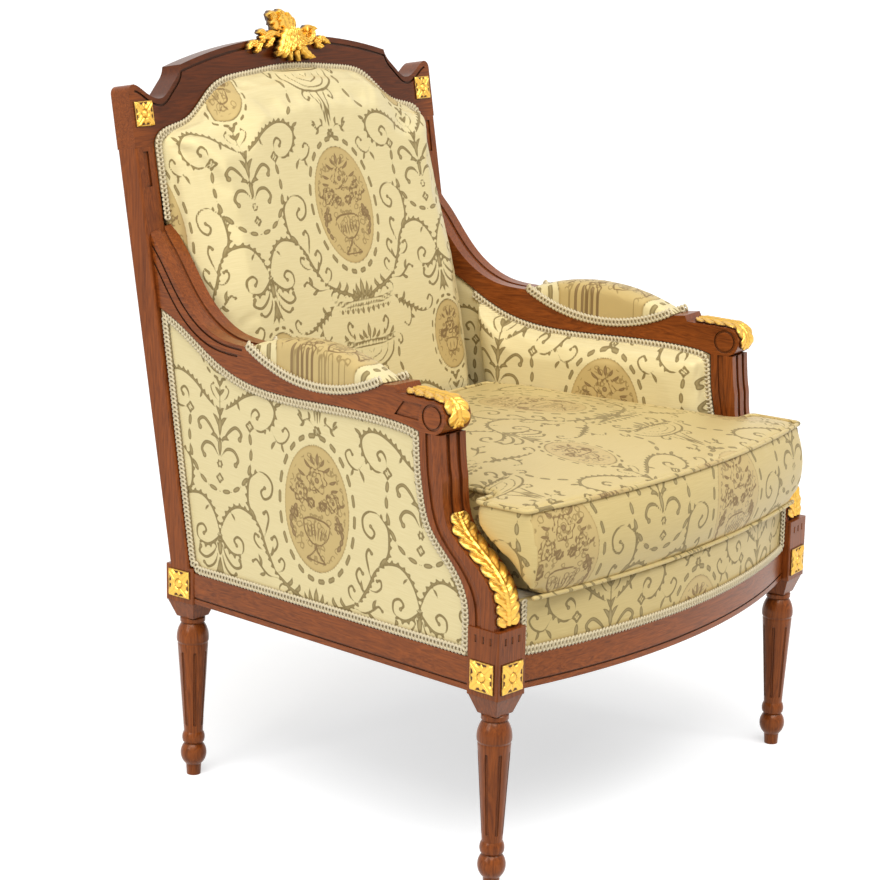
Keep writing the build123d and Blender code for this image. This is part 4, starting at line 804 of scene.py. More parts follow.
# Vases of flowers inside the medallions
pictured = least(
    rose((0, 37), 18),
    rose((29, 14), 13),
    rose((10, 6), 7),
    rose((40, -14), 8),
    leaf((0, 56), (0, 74), 3.2),
    leaf((4, 55), (13, 70), 2.6, -0.1),
    leaf((10, 50), (25, 62), 2.6, -0.1),
    leaf((20, 38), (36, 46), 2.6, -0.1),
    leaf((24, 30), (40, 34), 2.4, -0.1),
    leaf((41, 12), (50, 20), 2.2, -0.1),
    leaf((16, 16), (20, 26), 2.2),
    husks([(36, -2), (46, -22), (42, -38), (37, -46)], 3.4, 9),
    brushed([(0, -13), (14, -14), (25, -19)], 1.7, (1, 0.6)),
    brushed([(24, -20), (20, -34), (9, -45), (0, -47)], 1.5, (0.8, 1)),
    brushed([(4, -18), (2, -43)], 1.6),
    brushed([(11, -19), (6, -42)], 1.6),
    brushed([(18, -21), (12, -39)], 1.6),
    brushed([(0, -47), (3, -55), (11, -63), (16, -66)], 1.6, (1, 0.8)),
    brushed([(0, -68), (17, -68)], 1.5, (1, 0.8)),
    rose((180, -194), 11),
    rose((163, -203), 7),
    leaf((172, -182), (163, -172), 2.4, 0.1),
    leaf((178, -182), (175, -166), 2.4),
    brushed([(180, -212), (164, -213)], 1.5, (1, 0.6)),
    brushed([(166, -214), (171, -228), (180, -232)], 1.5, (0.8, 1)),
    brushed([(175, -214), (177, -230)], 1.3),
    brushed([(180, -232), (172, -243)], 1.4),
)

# Flower knot on the large medallion, with its sprigs and the fluted stem of the basket above
knot = least(
    flower((0, 100), 8, 6),
    tendril([(5, 104), (16, 112), (27, 108), (34, 114)], 1.6),
    leaf((14, 111), (18, 124), 2.6, 0.15),
    leaf((22, 110), (33, 100), 2.6, -0.15),
    leaf((27, 109), (38, 122), 2.4, 0.15),
    brushed([(0, 110), (0, 158)], 1.8, (0.6, 1)),
    brushed([(4, 112), (7, 134), (14, 156)], 1.8, (0.6, 1)),
    brushed([(2, 122), (6, 156)], 1.3),
    tendril([(12, 157), (24, 162), (31, 155), (26, 148), (21, 152)], 1.9),
)

# Basket over the stem: a beaded rim with leaves on it, a fluted bowl and a festoon from each end
basket = least(
    brushed([(0, -190), (30, -190), (56, -186)], 1.5, (1, 0.6)),
    brushed([(0, -198), (30, -197), (56, -192)], 1.5, (1, 0.6)),
    husks([(2, -194), (30, -193), (54, -189)], 1.7, 6),
    brushed([(50, -198), (44, -214), (26, -226), (0, -230)], 2.0, (0.7, 1)),
    brushed([(36, -200), (32, -211), (18, -221), (0, -224)], 1.5, (0.7, 1)),
    brushed([(22, -201), (18, -210), (0, -216)], 1.4, (0.7, 1)),
    brushed([(8, -201), (0, -209)], 1.4),
    leaf((0, -188), (0, -164), 4.0),
    leaf((4, -188), (13, -170), 3.2, -0.15),
    leaf((12, -188), (23, -176), 3.0, -0.15),
    tendril([(26, -187), (38, -180), (44, -168), (39, -161), (34, -167)], 2.2),
    leaf((32, -187), (33, -176), 2.6),
    leaf((44, -186), (54, -174), 3.0, -0.15),
    tendril([(56, -189), (66, -190), (70, -199), (64, -204), (61, -199)], 1.9),
    husks([(59, -206), (58, -224), (63, -240), (74, -252), (85, -262)], 3.2, 17),
)

# Fringed bar under the large medallion, with a fan of leaves on it and a branch from each end
bar = least(
    brushed([(0, -134), (36, -133), (63, -128)], 1.3, (1, 0.6)),
    brushed([(0, -141), (36, -140), (64, -134)], 1.3, (1, 0.6)),
    husks([(2, -137.5), (36, -136.5), (62, -131)], 1.5, 5),
    tendril([(63, -131), (67, -121), (59, -114), (50, -118), (54, -124)], 1.8),
    brushed([(59, -114), (46, -118), (34, -131)], 1.6),
    leaf((0, -131), (0, -101), 4.6),
    leaf((2, -131), (12, -104), 3.6, -0.12),
    leaf((5, -131), (22, -111), 3.4, -0.15),
    leaf((8, -132), (29, -121), 3.0, -0.15),
    leafy([(64, -134), (80, -146), (98, -153), (116, -163), (132, -166)], 2.0, 1, 9.0),
    leafy([(70, -139), (90, -151), (110, -160)], 1.6, -1, 10.0),
    tendril([(130, -166), (143, -161), (149, -150), (143, -144), (138, -149)], 2.0),
    leaf((80, -146), (90, -129), 3.0, -0.1),
    tendril([(96, -153), (96, -170), (88, -181), (80, -176)], 1.7),
    leaf((95, -164), (106, -172), 2.8, -0.15),
)
for u in (5, 16, 27, 38, 49):
    long_drop = leaf((u, -143), (u + 1, -155 + u / 8), 3.0)
    short_drop = leaf((u + 5, -143), (u + 6, -150 + u / 8), 1.8)
    bar = least(bar, long_drop, short_drop)

# Acanthus that climbs round the foot of the large medallion, its curls to both sides
climbing = least(
    leafy([(14, -128), (34, -121), (54, -114), (75, -101)], 2.8, -1, 8.0),
    leafy([(75, -101), (90, -80), (101, -58), (108, -46)], 2.6, -1, 8.0),
    leaf((40, -118), (30, -104), 3.6, 0.25),
    leaf((54, -113), (44, -100), 3.4, 0.25),
    tendril([(72, -103), (61, -97), (58, -87), (64, -82), (68, -87)], 2.0),
    tendril([(88, -84), (77, -76), (71, -65), (76, -56), (82, -61)], 2.2),
    leaf((84, -86), (80, -68), 2.8, 0.1),
    tendril([(97, -66), (92, -52), (88, -36), (92, -27), (97, -31)], 2.2),
    tendril([(92, -78), (104, -79), (114, -71), (113, -62), (107, -64)], 2.0),
    tendril([(64, -109), (86, -111), (101, -103), (110, -96), (117, -100)], 2.0),
    leaf((92, -109), (106, -114), 3.0, -0.1),
    leaf((100, -104), (108, -86), 3.0, 0.1),
)

# Scrolls beside it: one curls in at the medallion's waist, one arches over to the crossing
scrolls = least(
    leafy([(110, -47), (124, -29), (127, -12), (124, 8), (109, 20)], 2.3, -1),
    tendril(
        [(116, 16), (104, 22), (90, 20), (81, 10), (84, -5), (96, -12), (102, -4), (95, 3)], 2.2
    ),
    leafy([(108, -46), (126, -37), (144, -35), (160, -43), (171, -57), (180, -79)], 2.4, 1),
    leaf((112, -44), (128, -29), 3.4, 0.1),
    leafy([(180, -82), (168, -94), (154, -101), (140, -98)], 2.4, 1),
    tendril([(146, -101), (136, -94), (136, -81), (146, -76), (153, -82), (148, -88)], 2.2),
    leaf((160, -46), (150, -58), 2.2, -0.1),
    flower((180, -82), 6, 4),
    leaf((180, -88), (180, -112), 4.6),
    tendril([(177, -90), (168, -108), (153, -119), (140, -115), (142, -107)], 2.4),
    tendril([(178, -100), (170, -122), (157, -131), (149, -127)], 2.2),
    leaf((179, -112), (166, -145), 3.2, 0.12),
    leaf((180, -112), (180, -150), 3.4),
)

# Palmette in its garland between the medallions, under two leafy arches
palmette = least(
    flower((180, -5), 8, 4),
    flower((180, 14), 7, 6),
    leaf((180, 24), (180, 54), 4.0),
    leaf((180, 50), (180, 84), 4.0),
    tendril([(178, 23), (167, 36), (153, 37), (145, 27), (150, 19)], 2.8),
    tendril([(178, 40), (165, 58), (150, 69), (139, 63), (142, 55)], 2.8),
    leaf((178, 46), (160, 48), 3.2, -0.2),
    leaf((178, 62), (164, 80), 3.2, -0.15),
    leaf((179, 76), (170, 92), 2.8, -0.15),
    brushed([(180, 84), (180, 128)], 1.5, (1, 0.5)),
    leaf((180, 104), (169, 116), 2.8, -0.1),
    leaf((180, 116), (172, 128), 2.6, -0.1),
    tendril([(179, 96), (168, 104), (163, 114), (168, 119)], 1.6),
    husks([(123, 68), (121, 40), (126, 14), (140, -6), (158, -18), (180, -23)], 3.5, 18),
    flower((123, 77), 8.5, 4),
    tendril([(121, 85), (119, 96), (112, 102), (105, 97), (109, 91)], 2.2),
    leafy([(170, 88), (154, 99), (133, 114), (109, 123), (89, 121)], 2.4, -1),
    leafy([(109, 123), (89, 121), (77, 108), (82, 90), (98, 77)], 2.3, -1),
    brushed([(90, 82), (102, 75), (115, 76)], 2.0),
    leaf((146, 106), (140, 92), 2.4, 0.1),
    tendril([(84, 84), (72, 69), (58, 72), (50, 84), (57, 91), (62, 86)], 1.9),
    leaf((74, 70), (84, 53), 2.8, 0.1),
    leaf((64, 70), (58, 57), 2.6, 0.1),
    leaf((78, 114), (63, 121), 3.0),
)

# The half repeat as shares: 0.5 on an edge, more inside, for the figure, the medallions and their flowers
woven = least(outlines, knot, basket, bar, climbing, scrolls, palmette)
tile = np.stack([woven, medallion_fill, pictured], axis=-1)
overlap = drawn_high - drawn_low - repeat_height
tile[-overlap:] = np.minimum(tile[-overlap:], tile[:overlap])
fade = 16.0
tile = np.clip(0.5 - tile[overlap:] / fade, 0.0, 1.0)


def lay_cloth(piece, across, up):
    """Stores on each point of a piece where it lies on the cloth, in mm, and what is woven there."""
    col = np.abs((across + repeat_half) % (2 * repeat_half) - repeat_half)
    col = np.clip(col, 0, repeat_half - 0.001)
    risen = (up - drawn_low - overlap) % repeat_height
    row_low = np.floor(risen).astype(int) % repeat_height
    row_high = (row_low + 1) % repeat_height
    col_low = np.floor(col).astype(int)
    du = (col - col_low)[:, None]
    dv = (risen - np.floor(risen))[:, None]
    low = tile[row_low, col_low] * (1 - du) + tile[row_low, col_low + 1] * du
    high = tile[row_high, col_low] * (1 - du) + tile[row_high, col_low + 1] * du
    shade = np.ones((len(across), 4))
    shade[:, :3] = low * (1 - dv) + high * dv
    drawn = piece.data.attributes.new("woven", "FLOAT_COLOR", "POINT")
    drawn.data.foreach_set("color", shade.ravel())
    laid = piece.data.attributes.new("thread", "FLOAT_VECTOR", "POINT")
    laid.data.foreach_set("vector", np.stack([across, up, 0 * up], axis=-1).ravel() / 1000)


weave, given, made = group_sockets(
    "silk_weave",
    [("Vector", "NodeSocketVector", None)],
    [("Height", "NodeSocketFloat"), ("Slub", "NodeSocketFloat"), ("Sprigs", "NodeSocketFloat")],
)
threads = []
for scale, direction, weight in ((330.0, "X", 0.45), (260.0, "Y", 0.55)):
    wave = add_node(
        weave,
        "TexWave",
        {"Vector": given["Vector"], "Scale": scale, "Distortion": 0.6},
        bands_direction=direction,
    )
    threads.append(maths(weave, "MULTIPLY", wave.outputs["Fac"], weight))
weave.links.new(maths(weave, "ADD", *threads), made["Height"])
drawn_out = add_node(weave, "Mapping", {"Vector": given["Vector"], "Scale": (12.0, 260.0, 1.0)})
weave.links.new(speckled(weave, drawn_out.outputs[0], 3.0, 3.0), made["Slub"])
bud = add_node(weave, "TexVoronoi", {"Vector": given["Vector"], "Scale": 96.0})
ruffle = maths(weave, "MULTIPLY", speckled(weave, given["Vector"], 160.0, 1.0), 0.5)
petals = maths(weave, "ADD", bud.outputs["Distance"], ruffle)
off_ring = maths(weave, "ABSOLUTE", maths(weave, "SUBTRACT", petals, 0.62))
weave.links.new(ranged(weave, off_ring, 0.11, 0.05, to_high=0.7), made["Sprigs"])


def silk_damask(name, deep_ground, pale_ground):
    """Satin ground with the olive figure, the tan medallions and the brown flowers woven in."""
    material, tree, shader = new_material(name)
    thread = add_node(tree, "Attribute", attribute_name="thread")
    cloth = add_node(tree, "Group", {"Vector": thread.outputs["Vector"]}, node_tree=weave)
    ground = blend(tree, cloth.outputs["Slub"], deep_ground, pale_ground)
    drawn = add_node(tree, "Attribute", attribute_name="woven")
    parts = add_node(tree, "SeparateColor", {"Color": drawn.outputs["Color"]})
    raised = 0.0
    for channel, rim, edge, heart in (
        ("Green", 0.47, linear(172, 146, 94), linear(188, 164, 110)),
        ("Red", 0.50, linear(114, 98, 62), linear(158, 142, 100)),
        ("Blue", 0.49, linear(116, 92, 60), linear(150, 126, 88)),
    ):
        depth = parts.outputs[channel]
        inside = ranged(tree, depth, rim, rim + 0.06, interpolation_type="SMOOTHSTEP")
        yarn = blend(tree, ranged(tree, depth, rim + 0.05, rim + 0.19), edge, heart)
        if channel == "Green":
            sprigs = maths(tree, "MULTIPLY", cloth.outputs["Sprigs"], ranged(tree, depth, 0.84, 0.92))
            yarn = blend(tree, sprigs, yarn, linear(128, 106, 66))
        else:
            raised = maths(tree, "MAXIMUM", inside, raised)
        ground = blend(tree, inside, ground, yarn)
    fine = maths(tree, "MULTIPLY", cloth.outputs["Height"], 0.35)
    height = maths(tree, "ADD", fine, maths(tree, "MULTIPLY", raised, 0.65))
    rough = maths(tree, "ADD", maths(tree, "MULTIPLY", cloth.outputs["Slub"], 0.12), 0.31)
    wire(
        tree,
        shader,
        {
            "Base Color": ground,
            "Roughness": maths(tree, "ADD", rough, maths(tree, "MULTIPLY", raised, 0.18)),
            "Normal": bumped(tree, height, 0.22, 0.0005),
            "Sheen Weight": 0.2,
            "Sheen Roughness": 0.35,
            "Sheen Tint": linear(255, 226, 150),
            "Specular IOR Level": 0.6,
            "Specular Tint": linear(255, 224, 150),
        },
    )
    return material


figured_silk = silk_damask("figured_silk_damask", linear(203, 187, 138), linear(222, 208, 162))
# The seat silk is the same damask with a darker ground, as painted shade on the cushion, its piping and the
# front border.
shaded_seat_silk = silk_damask("shaded_seat_silk_damask", linear(184, 162, 106), linear(204, 184, 130))


# Padded panels: the outside of each arm is a thin pad of wadding under stretched damask, tacked into
# the rebates of the frame with its edges hidden under the gimp.
def joined_copy(node):
    """A CAD node's mesh with its faces joined along their edges."""
    shape = bmesh.new()
    shape.from_mesh(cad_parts[node].data)
    bmesh.ops.remove_doubles(shape, verts=shape.verts[:], dist=1e-6)
    return shape


def even_copy(node, name, voxel):
    """New piece from a soft CAD solid, as an even net of points to be shaped further."""
    piece = new_piece(name, joined_copy(node))
    net = piece.modifiers.new("even_net", "REMESH")
    net.mode = "VOXEL"
    net.voxel_size = voxel
    bake(piece)
    return piece


def bake(piece):
    """Makes what the modifiers give the piece's own mesh."""
    shaped = piece.evaluated_get(bpy.context.evaluated_depsgraph_get())
    mesh = bpy.data.meshes.new_from_object(shaped)
    mesh.name = piece.name
    piece.modifiers.clear()
    old = piece.data
    piece.data = mesh
    bpy.data.meshes.remove(old)


def soften(piece, rounds, chosen=None):
    """Rounds the piece off by drawing each point, or each chosen one, towards its neighbours."""
    shape = bmesh.new()
    shape.from_mesh(piece.data)
    moving = [vert for vert in shape.verts if chosen is None or chosen[vert.index]]
    for _ in range(rounds):
        bmesh.ops.smooth_vert(
            shape, verts=moving, factor=0.5, use_axis_x=True, use_axis_y=True, use_axis_z=True
        )
    shape.to_mesh(piece.data)
    shape.free()


def refine(piece):
    """One round of subdivision, made part of the mesh, shaded smooth."""
    finer = piece.modifiers.new("finer", "SUBSURF")
    finer.levels = 1
    finer.render_levels = 1
    bake(piece)
    piece.data.shade_smooth()


def points_of(piece, what="co"):
    """The piece's points in metres, one row each, or which way its surface faces there."""
    found = np.empty(3 * len(piece.data.vertices))
    piece.data.vertices.foreach_get(what, found)
    return found.reshape(-1, 3)


def set_points(piece, points):
    """Moves the piece's points."""
    piece.data.vertices.foreach_set("co", points.ravel())
    piece.data.update()


def side_places(points, side):
    """Places along the side, up, and out from the side's middle plane, in mm."""
    seen = points.copy()
    if side == "left":
        seen[:, 0] *= -1
    moved = seen - np.array(front_leg)
    return moved @ np.array(side_run) * 1000, seen[:, 2] * 1000, moved @ np.array(side_out) * 1000


def cover(piece, material, node, slot="damask", body="frame"):
    """Finishes a padded piece: its cloth, the node it stands for and the body it rides on."""
    piece.data.materials.append(material)
    stand_for(piece, body, slot, node)


def drawn_tight(points, out, amount, scale):
    """Points moved in and out a little, as cloth does that is strained over wadding."""
    sway = [noise.noise(Vector(p) * scale) for p in points]
    return points + np.outer(np.array(sway) * amount, np.array(out))


panel_middle, panel_level = 289, 426
panel_slope = 0.07
for side in sides:
    hand = -1 if side == "left" else 1
    panel = even_copy(f"outside_arm_panel_{side}", f"outside_arm_cloth_{side}", 0.0042)
    soften(panel, 4)
    refine(panel)
    out = (hand * side_out.x, side_out.y, 0)
    set_points(panel, drawn_tight(points_of(panel), out, 0.0006, 22))
    along, up, outwards = side_places(points_of(panel), side)
    lay_cloth(panel, along - panel_middle, up - panel_level - panel_slope * (along - panel_middle))
    cover(panel, figured_silk, f"outside_arm_panel_{side}")


# Stuffed linings: the inside of each arm is webbed, filled with curled hair and covered, full enough
# to stand proud of the frame on the seat side.
def puff(piece, held, pressure, cap, frames=20):
    """Lets air pressure swell the cover between its held points, by no more than cap."""
    before = points_of(piece)
    sewn = piece.vertex_groups.new(name="sewn")
    for index in np.flatnonzero(held):
        sewn.add([int(index)], 1.0, "REPLACE")
    stuffing = piece.modifiers.new("stuffing", "CLOTH")
    stuffing.settings.use_pressure = True
    stuffing.settings.uniform_pressure_force = pressure
    stuffing.settings.vertex_group_mass = "sewn"
    stuffing.settings.effector_weights.gravity = 0
    stuffing.settings.tension_stiffness = 18
    stuffing.settings.compression_stiffness = 18
    stuffing.settings.bending_stiffness = 1.2
    stuffing.settings.quality = 6
    stuffing.point_cache.frame_start = 1
    stuffing.point_cache.frame_end = frames
    for step in range(1, frames + 1):
        scene.frame_set(step)
    bake(piece)
    scene.frame_set(1)
    piece.vertex_groups.clear()
    moved = points_of(piece) - before
    far = np.maximum(np.linalg.norm(moved, axis=1), 1e-9)
    set_points(piece, before + moved * np.minimum(1.0, cap / far)[:, None])


lining_middle, lining_level = 262, 455
lining_edge = -30
for side in sides:
    lining = even_copy(f"inside_arm_pad_{side}", f"inside_arm_cloth_{side}", 0.0050)
    soften(lining, 8)
    along, up, outwards = side_places(points_of(lining), side)
    puff(lining, outwards > lining_edge, pressure=3.0, cap=0.004)
    refine(lining)
    along, up, outwards = side_places(points_of(lining), side)
    lay_cloth(lining, along - lining_middle, up - lining_level)
    cover(lining, figured_silk, f"inside_arm_pad_{side}")

# Arm pads: small stuffed pads nailed into the dip of each arm rail, crowned and tightly covered. The
# cloth runs lengthwise over them and a little of it is taken up by the crown.
pad_middle = 290
crown_take_up = 1.4
for side in sides:
    pad = even_copy(f"arm_pad_{side}", f"arm_pad_cloth_{side}", 0.0036)
    soften(pad, 7)
    refine(pad)
    along, up, outwards = side_places(points_of(pad), side)
    lay_cloth(pad, crown_take_up * outwards, along - pad_middle)
    cover(pad, figured_silk, f"arm_pad_{side}")

# Back pad: webbed, stuffed deep and covered in one piece of damask, its sides drawn in to the frame
# and its fullest part above the seat.
back_cloth = even_copy("back_pad", "back_cloth", 0.0055)
soften(back_cloth, 26)


def back_places(points):
    """Places across, up the slope of the back and forward of its rear face, in mm."""
    moved = points - np.array(back_foot)
    return points[:, 0] * 1000, moved @ np.array(back_up) * 1000, moved @ np.array(back_front) * 1000


back_edge = 46
back_level = 444
across, up, forward = back_places(points_of(back_cloth))
puff(back_cloth, forward < back_edge, pressure=3.0, cap=0.008)
refine(back_cloth)
across, up, forward = back_places(points_of(back_cloth))

# Where the pad falls away to its edges, the cloth goes on over the fall: measured in rows up the back
row_pitch = 24
rows = np.arange(0, 720, row_pitch)
row = np.clip(np.round(up / row_pitch).astype(int), 0, len(rows) - 1)
row_front = np.zeros(len(rows))
row_half = np.ones(len(rows))
np.maximum.at(row_front, row, forward)
np.maximum.at(row_half, row, np.abs(across))
flat_depth = 10
side_width = 70
sunk = np.maximum(0.0, np.interp(up, rows, row_front) - flat_depth - forward)
at_side = np.clip(1 - (np.interp(up, rows, row_half) - np.abs(across)) / side_width, 0, 1)
off_middle = across - 8 + np.sign(across) * sunk * at_side
lay_cloth(back_cloth, off_middle, up - back_level + 0.4 * sunk * (1 - at_side))
cover(back_cloth, figured_silk, "back_pad")

# Outside back: a plain stretched panel of the same damask, tacked round the rear of the back frame.
rear_cloth = even_copy("outside_back_panel", "outside_back_cloth", 0.0032)
soften(rear_cloth, 3)
across, up, forward = back_places(points_of(rear_cloth))
lay_cloth(rear_cloth, across, up - back_level)
rear_cloth.data.shade_smooth()
cover(rear_cloth, figured_silk, "outside_back_panel")

# Front border: the padded strip below the cushion, over the bowed front rail.
border_cloth = even_copy("front_border", "front_border_cloth", 0.0036)
soften(border_cloth, 4)
refine(border_cloth)
border_middle, border_level = 15, 250
points = points_of(border_cloth) * 1000
lay_cloth(border_cloth, points[:, 0] - border_middle, points[:, 2] - border_level)
cover(border_cloth, shaded_seat_silk, "front_border")

# Seat deck: the platform under the loose cushion, hair and wadding in plain cotton lining.
lining_cotton, tree, shader = new_material("lining_cotton")
threads = add_node(tree, "Group", {"Vector": own_place(tree)}, node_tree=weave)
wire(
    tree,
    shader,
    {
        "Base Color": blend(tree, threads.outputs["Slub"], linear(206, 196, 172), linear(226, 218, 196)),
        "Normal": bumped(tree, threads.outputs["Height"], 0.3, 0.0006),
        "Roughness": 0.85,
    },
)
deck_cloth = even_copy("seat_deck", "seat_deck_lining", 0.0060)
soften(deck_cloth, 3)
deck_cloth.data.shade_smooth()
cover(deck_cloth, lining_cotton, "seat_deck", "lining_cloth")


# Hidden cloths: the hessian over the springs, the black dust cover tacked under the seat and the
# jute webbing of the back.
def thin_copy(node, name, longest):
    """New piece from a thin CAD solid, with its long edges divided."""
    shape = joined_copy(node)
    for _ in range(7):
        long_edges = [e for e in shape.edges if e.calc_length() > longest]
        if not long_edges:
            break
        bmesh.ops.subdivide_edges(shape, edges=long_edges, cuts=1, use_grid_fill=True)
        bmesh.ops.triangulate(shape, faces=shape.faces[:])
    return new_piece(name, shape)


def coarse_cloth(name, dark, light, scale):
    """Plain woven cloth or webbing with its threads showing."""
    material, tree, shader = new_material(name)
    wide = add_node(tree, "Mapping", {"Vector": own_place(tree), "Scale": [scale] * 3})
    threads = add_node(tree, "Group", {"Vector": wide.outputs[0]}, node_tree=weave)
    tone = blend(tree, threads.outputs["Height"], dark, light)
    relief = bumped(tree, threads.outputs["Height"], 0.5, 0.001)
    wire(tree, shader, {"Base Color": tone, "Normal": relief, "Roughness": 0.9})
    return material


hessian = coarse_cloth("hessian", linear(140, 108, 66), linear(186, 154, 104), 0.5)
black_cambric = coarse_cloth("black_cambric", linear(24, 24, 26), linear(46, 46, 48), 0.8)
jute = coarse_cloth("jute_webbing", linear(150, 120, 78), linear(196, 170, 122), 0.4)
for node, name, material, slot in (
    ("spring_cover", "spring_cover_hessian", hessian, "lining_cloth"),
    ("dust_cover", "dust_cover_cambric", black_cambric, "lining_cloth"),
    ("back_webbing", "back_webbing_jute", jute, "webbing"),
):
    cloth = thin_copy(node, name, 0.04)
    cloth.data.materials.append(material)
    stand_for(cloth, "frame", slot, node)
    low, high = (Vector(corner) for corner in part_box(node))

# Loose cushion: a feather and foam cushion in a T-shaped case, top and bottom panels sewn to a boxing
# strip. Its crown stands up inside the top seam and the boxing bellies forward along the front.
cushion = even_copy("seat_cushion", "seat_cushion_cloth", 0.0056)
soften(cushion, 5)
welt_level = 0.4764
cushion_foot = 0.3644
front_from = -0.27
front_swell = 0.010
points = points_of(cushion)
height_share = np.clip((points[:, 2] - cushion_foot) / (welt_level - cushion_foot), 0, 1)
soften(cushion, 12, (height_share > 0.08) & (height_share < 0.93) & (points[:, 1] < -0.30))
points = points_of(cushion)
facing_front = np.clip(-2 * points_of(cushion, "normal")[:, 1] - 0.6, 0, 1) * (points[:, 1] < front_from)
points[:, 1] -= front_swell * facing_front * np.sin(pi * height_share)
set_points(cushion, points)
at_seam = (np.abs(points[:, 2] - welt_level) < 0.005) | (points[:, 2] < cushion_foot + 0.006)
free_to_swell = (points[:, 2] > welt_level) | (points[:, 1] < front_from)
puff(cushion, at_seam, pressure=11.0, cap=np.where(free_to_swell, 0.019, 0.003))
refine(cushion)
points = points_of(cushion)
ways = np.abs(points_of(cushion, "normal"))
on_boxing = points[:, 2] < welt_level
on_side = on_boxing & (ways[:, 1] < ways[:, 0])
points *= 1000
cushion_middle, cushion_front = 90, -435
boxing_level, side_start = 414, -200
across = np.where(on_side, points[:, 1] - side_start, points[:, 0] - cushion_middle)
up = np.where(on_boxing, points[:, 2] - boxing_level, points[:, 1] - cushion_front)
lay_cloth(cushion, across, up)
cover(cushion, shaded_seat_silk, "seat_cushion", body="cushion")

# Piping: the same silk cut on the bias and sewn over cord, round the cushion's top seam and along the
# lower seam of its front.
for node in ("cushion_welt_top", "cushion_welt_bottom"):
    piping = even_copy(node, node.replace("welt", "piping"), 0.0015)
    soften(piping, 3)
    piping.data.shade_smooth()
    points = points_of(piping) * 1000
    lay_cloth(piping, points[:, 0] + points[:, 1], 0.6 * (points[:, 0] - points[:, 1]) + points[:, 2])
    piping.data.materials.append(shaded_seat_silk)
    stand_for(piping, "cushion", "damask", node)


# Gimp: a narrow cream braid of looped cord, glued over the tacks along every edge of the covering.
# Each loop leaves an eye, and the band under the loops is painted dark as painted shade in the eyes, so the
# braid reads as a row of dots.
def braid_cord(name, dark, light, rough):
    """Twisted rayon cord."""
    material, tree, shader = new_material(name)
    twist = speckled(tree, own_place(tree), 900.0, 2.0)
    tone = blend(tree, twist, dark, light)
    relief = bumped(tree, twist, 0.4, 0.0004)
    wire(tree, shader, {"Base Color": tone, "Normal": relief, "Roughness": rough, "Sheen Weight": 0.2})
    return material


cream_cord = braid_cord("cream_gimp_cord", linear(186, 170, 132), linear(218, 204, 170), 0.6)
# The braid's ground is painted dark brown: painted shade that shows through the eyes of the loops.
gimp_ground = braid_cord("gimp_ground", linear(120, 102, 66), linear(158, 138, 98), 0.8)
loop_pitch = 0.0058
loop_radius = 0.0030
cord_radius = 0.0017
loop = bmesh.new()
bmesh.ops.create_circle(loop, segments=4, radius=cord_radius)
bmesh.ops.rotate(loop, matrix=Matrix.Rotation(pi / 2, 3, "X"), verts=loop.verts[:])
bmesh.ops.translate(loop, vec=(loop_radius, 0, 0), verts=loop.verts[:])
bmesh.ops.spin(
    loop, geom=loop.edges[:], axis=(0, 0, 1), cent=(0, 0, 0), angle=2 * pi, steps=8, use_merge=True
)
bmesh.ops.remove_doubles(loop, verts=loop.verts[:], dist=1e-6)
bmesh.ops.recalc_face_normals(loop, faces=loop.faces[:])
for flat in loop.faces:
    flat.smooth = True
loop_mesh = bpy.data.meshes.new("gimp_loop")
loop.to_mesh(loop_mesh)
loop.free()


def edge_lines(faces):
    """Closed lines of points round a set of faces."""
    inside = set(faces)
    rim = [e for f in faces for e in f.edges if sum(g in inside for g in e.link_faces) == 1]
    onward = {}
    for edge in rim:
        for a, b in (edge.verts, reversed(edge.verts)):
            onward.setdefault(a, []).append(b)
    lines = []
    left = dict.fromkeys(onward)
    while left:
        start = left.popitem()[0]
        line = [start]
        here, last = onward[start][0], start
        while here is not start and len(line) < 20000:
            line.append(here)
            left.pop(here, None)
            here, last = next((v for v in onward[here] if v is not last), start), here
        lines.append([v.co.copy() for v in line])
    return lines


def even_line(line, pitch, closed):
    """Points at equal steps along a line."""
    if closed:
        line = line + [line[0]]
    gone = np.concatenate(([0.0], np.cumsum([(b - a).length for a, b in zip(line, line[1:])])))
    count = max(2, int(gone[-1] / pitch))
    steps = np.linspace(0, gone[-1], count + 1)[: count if closed else count + 1]
    rows = np.array([tuple(p) for p in line])
    return [Vector([np.interp(s, gone, rows[:, k]) for k in range(3)]) for s in steps]


def strip_sides(line):
    """The two long sides of a strip's outline, split at its two short ends."""
    count = len(line)
    corners = []
    for k in range(count):
        before = (line[k] - line[k - 1]).normalized()
        after = (line[(k + 1) % count] - line[k]).normalized()
        if before.dot(after) < 0.75:
            corners.append(k)
    ends = []
    for a, b in zip(corners, corners[1:] + corners[:1]):
        if (line[a] - line[b]).length < 0.016:
            ends.append((a, b))
    ends = sorted(ends, key=lambda pair: (line[pair[0]] - line[pair[1]]).length)[-2:]
    if len(ends) < 2:
        return line, line
    (a0, a1), (b0, b1) = ends
    walk = [(a1 + k) % count for k in range(count)]
    first = walk[: walk.index(b0) + 1]
    walk = [(b1 + k) % count for k in range(count)]
    second = walk[: walk.index(a0) + 1]
    return [line[k] for k in first], [line[k] for k in second]


def middle_line(faces, pitch):
    """Points along the middle of a band of faces, and whether it runs right round."""

    def length_round(line):
        return sum((b - a).length for a, b in zip(line, line[1:] + line[:1]))

    lines = sorted(edge_lines(faces), key=length_round)
    closed = len(lines) > 1
    outer, inner = (lines[-1], lines[-2]) if closed else strip_sides(lines[-1])
    over = even_line(inner, 0.0015, closed)
    spots = []
    for spot in even_line(outer, pitch, closed):
        across = min(over, key=lambda other: (other - spot).length_squared)
        spots.append((spot + across) / 2)
    return even_line(spots, pitch, closed), closed


def islands(faces):
    """Groups of faces that hang together."""
    left = dict.fromkeys(faces)
    groups = []
    while left:
        grown = [left.popitem()[0]]
        for face in grown:
            for edge in face.edges:
                for other in edge.link_faces:
                    if other in left:
                        del left[other]
                        grown.append(other)
        groups.append(grown)
    return groups


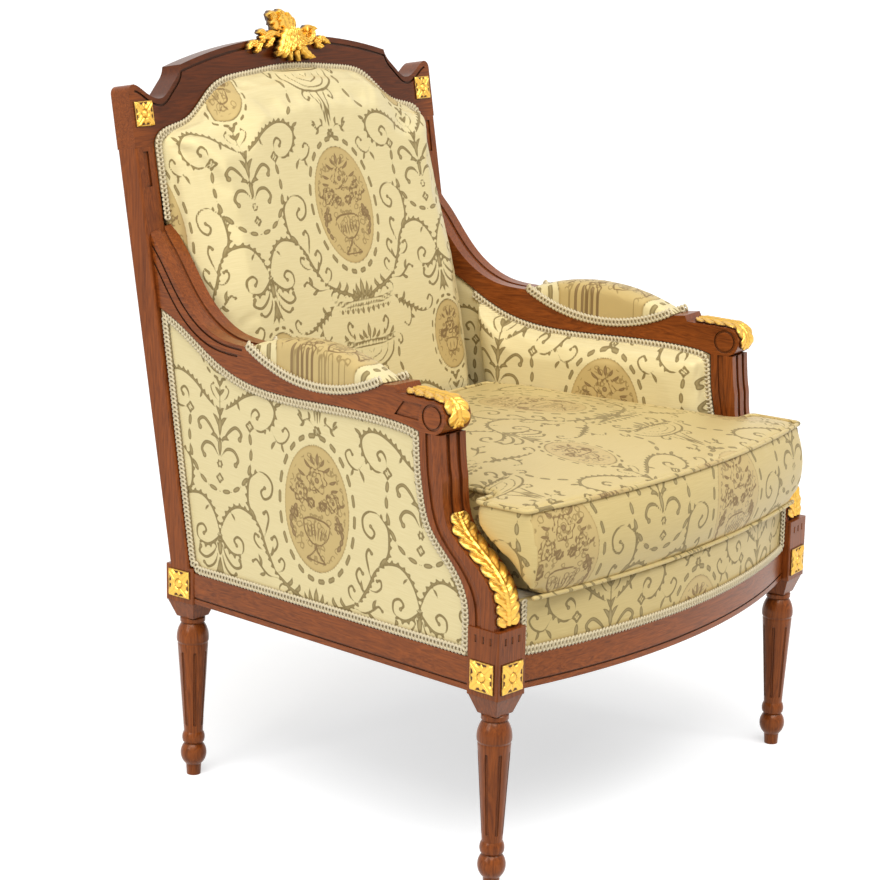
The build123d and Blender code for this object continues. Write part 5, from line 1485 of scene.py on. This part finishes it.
def gimp(node, *ways, run_on=0.0):
    """Braid over a CAD gimp band: its ground, painted dark as shade in the eyes of the loops, and a row of
    overlapping loops on each outward face. The loops may run on past the ends of the band."""
    shape = joined_copy(node)
    rows = []
    for way in ways:
        out = Vector(way).normalized()
        faces = [f for f in shape.faces if f.normal.dot(out) > 0.72]
        for group in islands(faces):
            spots, closed = middle_line(group, loop_pitch)
            if not closed:
                beyond = range(1, int(run_on / loop_pitch) + 1)
                first_step, last_step = (spots[0] - spots[2]) / 2, (spots[-1] - spots[-3]) / 2
                ahead = [spots[0] + first_step * k for k in reversed(beyond)]
                spots = ahead + spots + [spots[-1] + last_step * k for k in beyond]
            rows.append((spots, closed, out))
    for flat in shape.faces:
        flat.material_index = 1
    ground = bpy.data.meshes.new("gimp_ground")
    shape.to_mesh(ground)
    shape.free()
    shape = bmesh.new()
    shape.from_mesh(ground)
    bpy.data.meshes.remove(ground)
    tilt = Matrix.Rotation(radians(14), 4, "Y")
    for spots, closed, out in rows:
        count = len(spots)
        for k, spot in enumerate(spots):
            ahead = spots[(k + 1) % count] if closed or k + 1 < count else spot
            behind = spots[k - 1] if closed or k else spot
            along = (ahead - behind).normalized()
            aside = out.cross(along).normalized()
            face_out = along.cross(aside)
            lean = Matrix((along * 0.95, aside * 1.4, face_out * 0.8)).transposed().to_4x4()
            first = len(shape.verts)
            shape.from_mesh(loop_mesh)
            shape.verts.ensure_lookup_table()
            bmesh.ops.transform(
                shape,
                matrix=Matrix.Translation(spot + face_out * 0.0005) @ lean @ tilt,
                verts=shape.verts[first:],
            )
    piece = new_piece(node.replace("gimp", "braid"), shape)
    piece.data.materials.append(cream_cord)
    piece.data.materials.append(gimp_ground)
    stand_for(piece, "frame", "gimp", node)


for side in sides:
    hand = -1 if side == "left" else 1
    out = (hand * side_out.x, side_out.y, 0)
    inwards = (-hand * side_out.x, -side_out.y, 0)
    gimp(f"outside_arm_gimp_{side}", out)
    gimp(f"inside_arm_gimp_{side}", inwards)
    gimp(f"arm_pad_gimp_{side}", out, inwards)
gimp("back_gimp", back_front, run_on=0.040)
gimp("outside_back_gimp", -back_front)
gimp("front_border_gimp", (0, -1, 0))
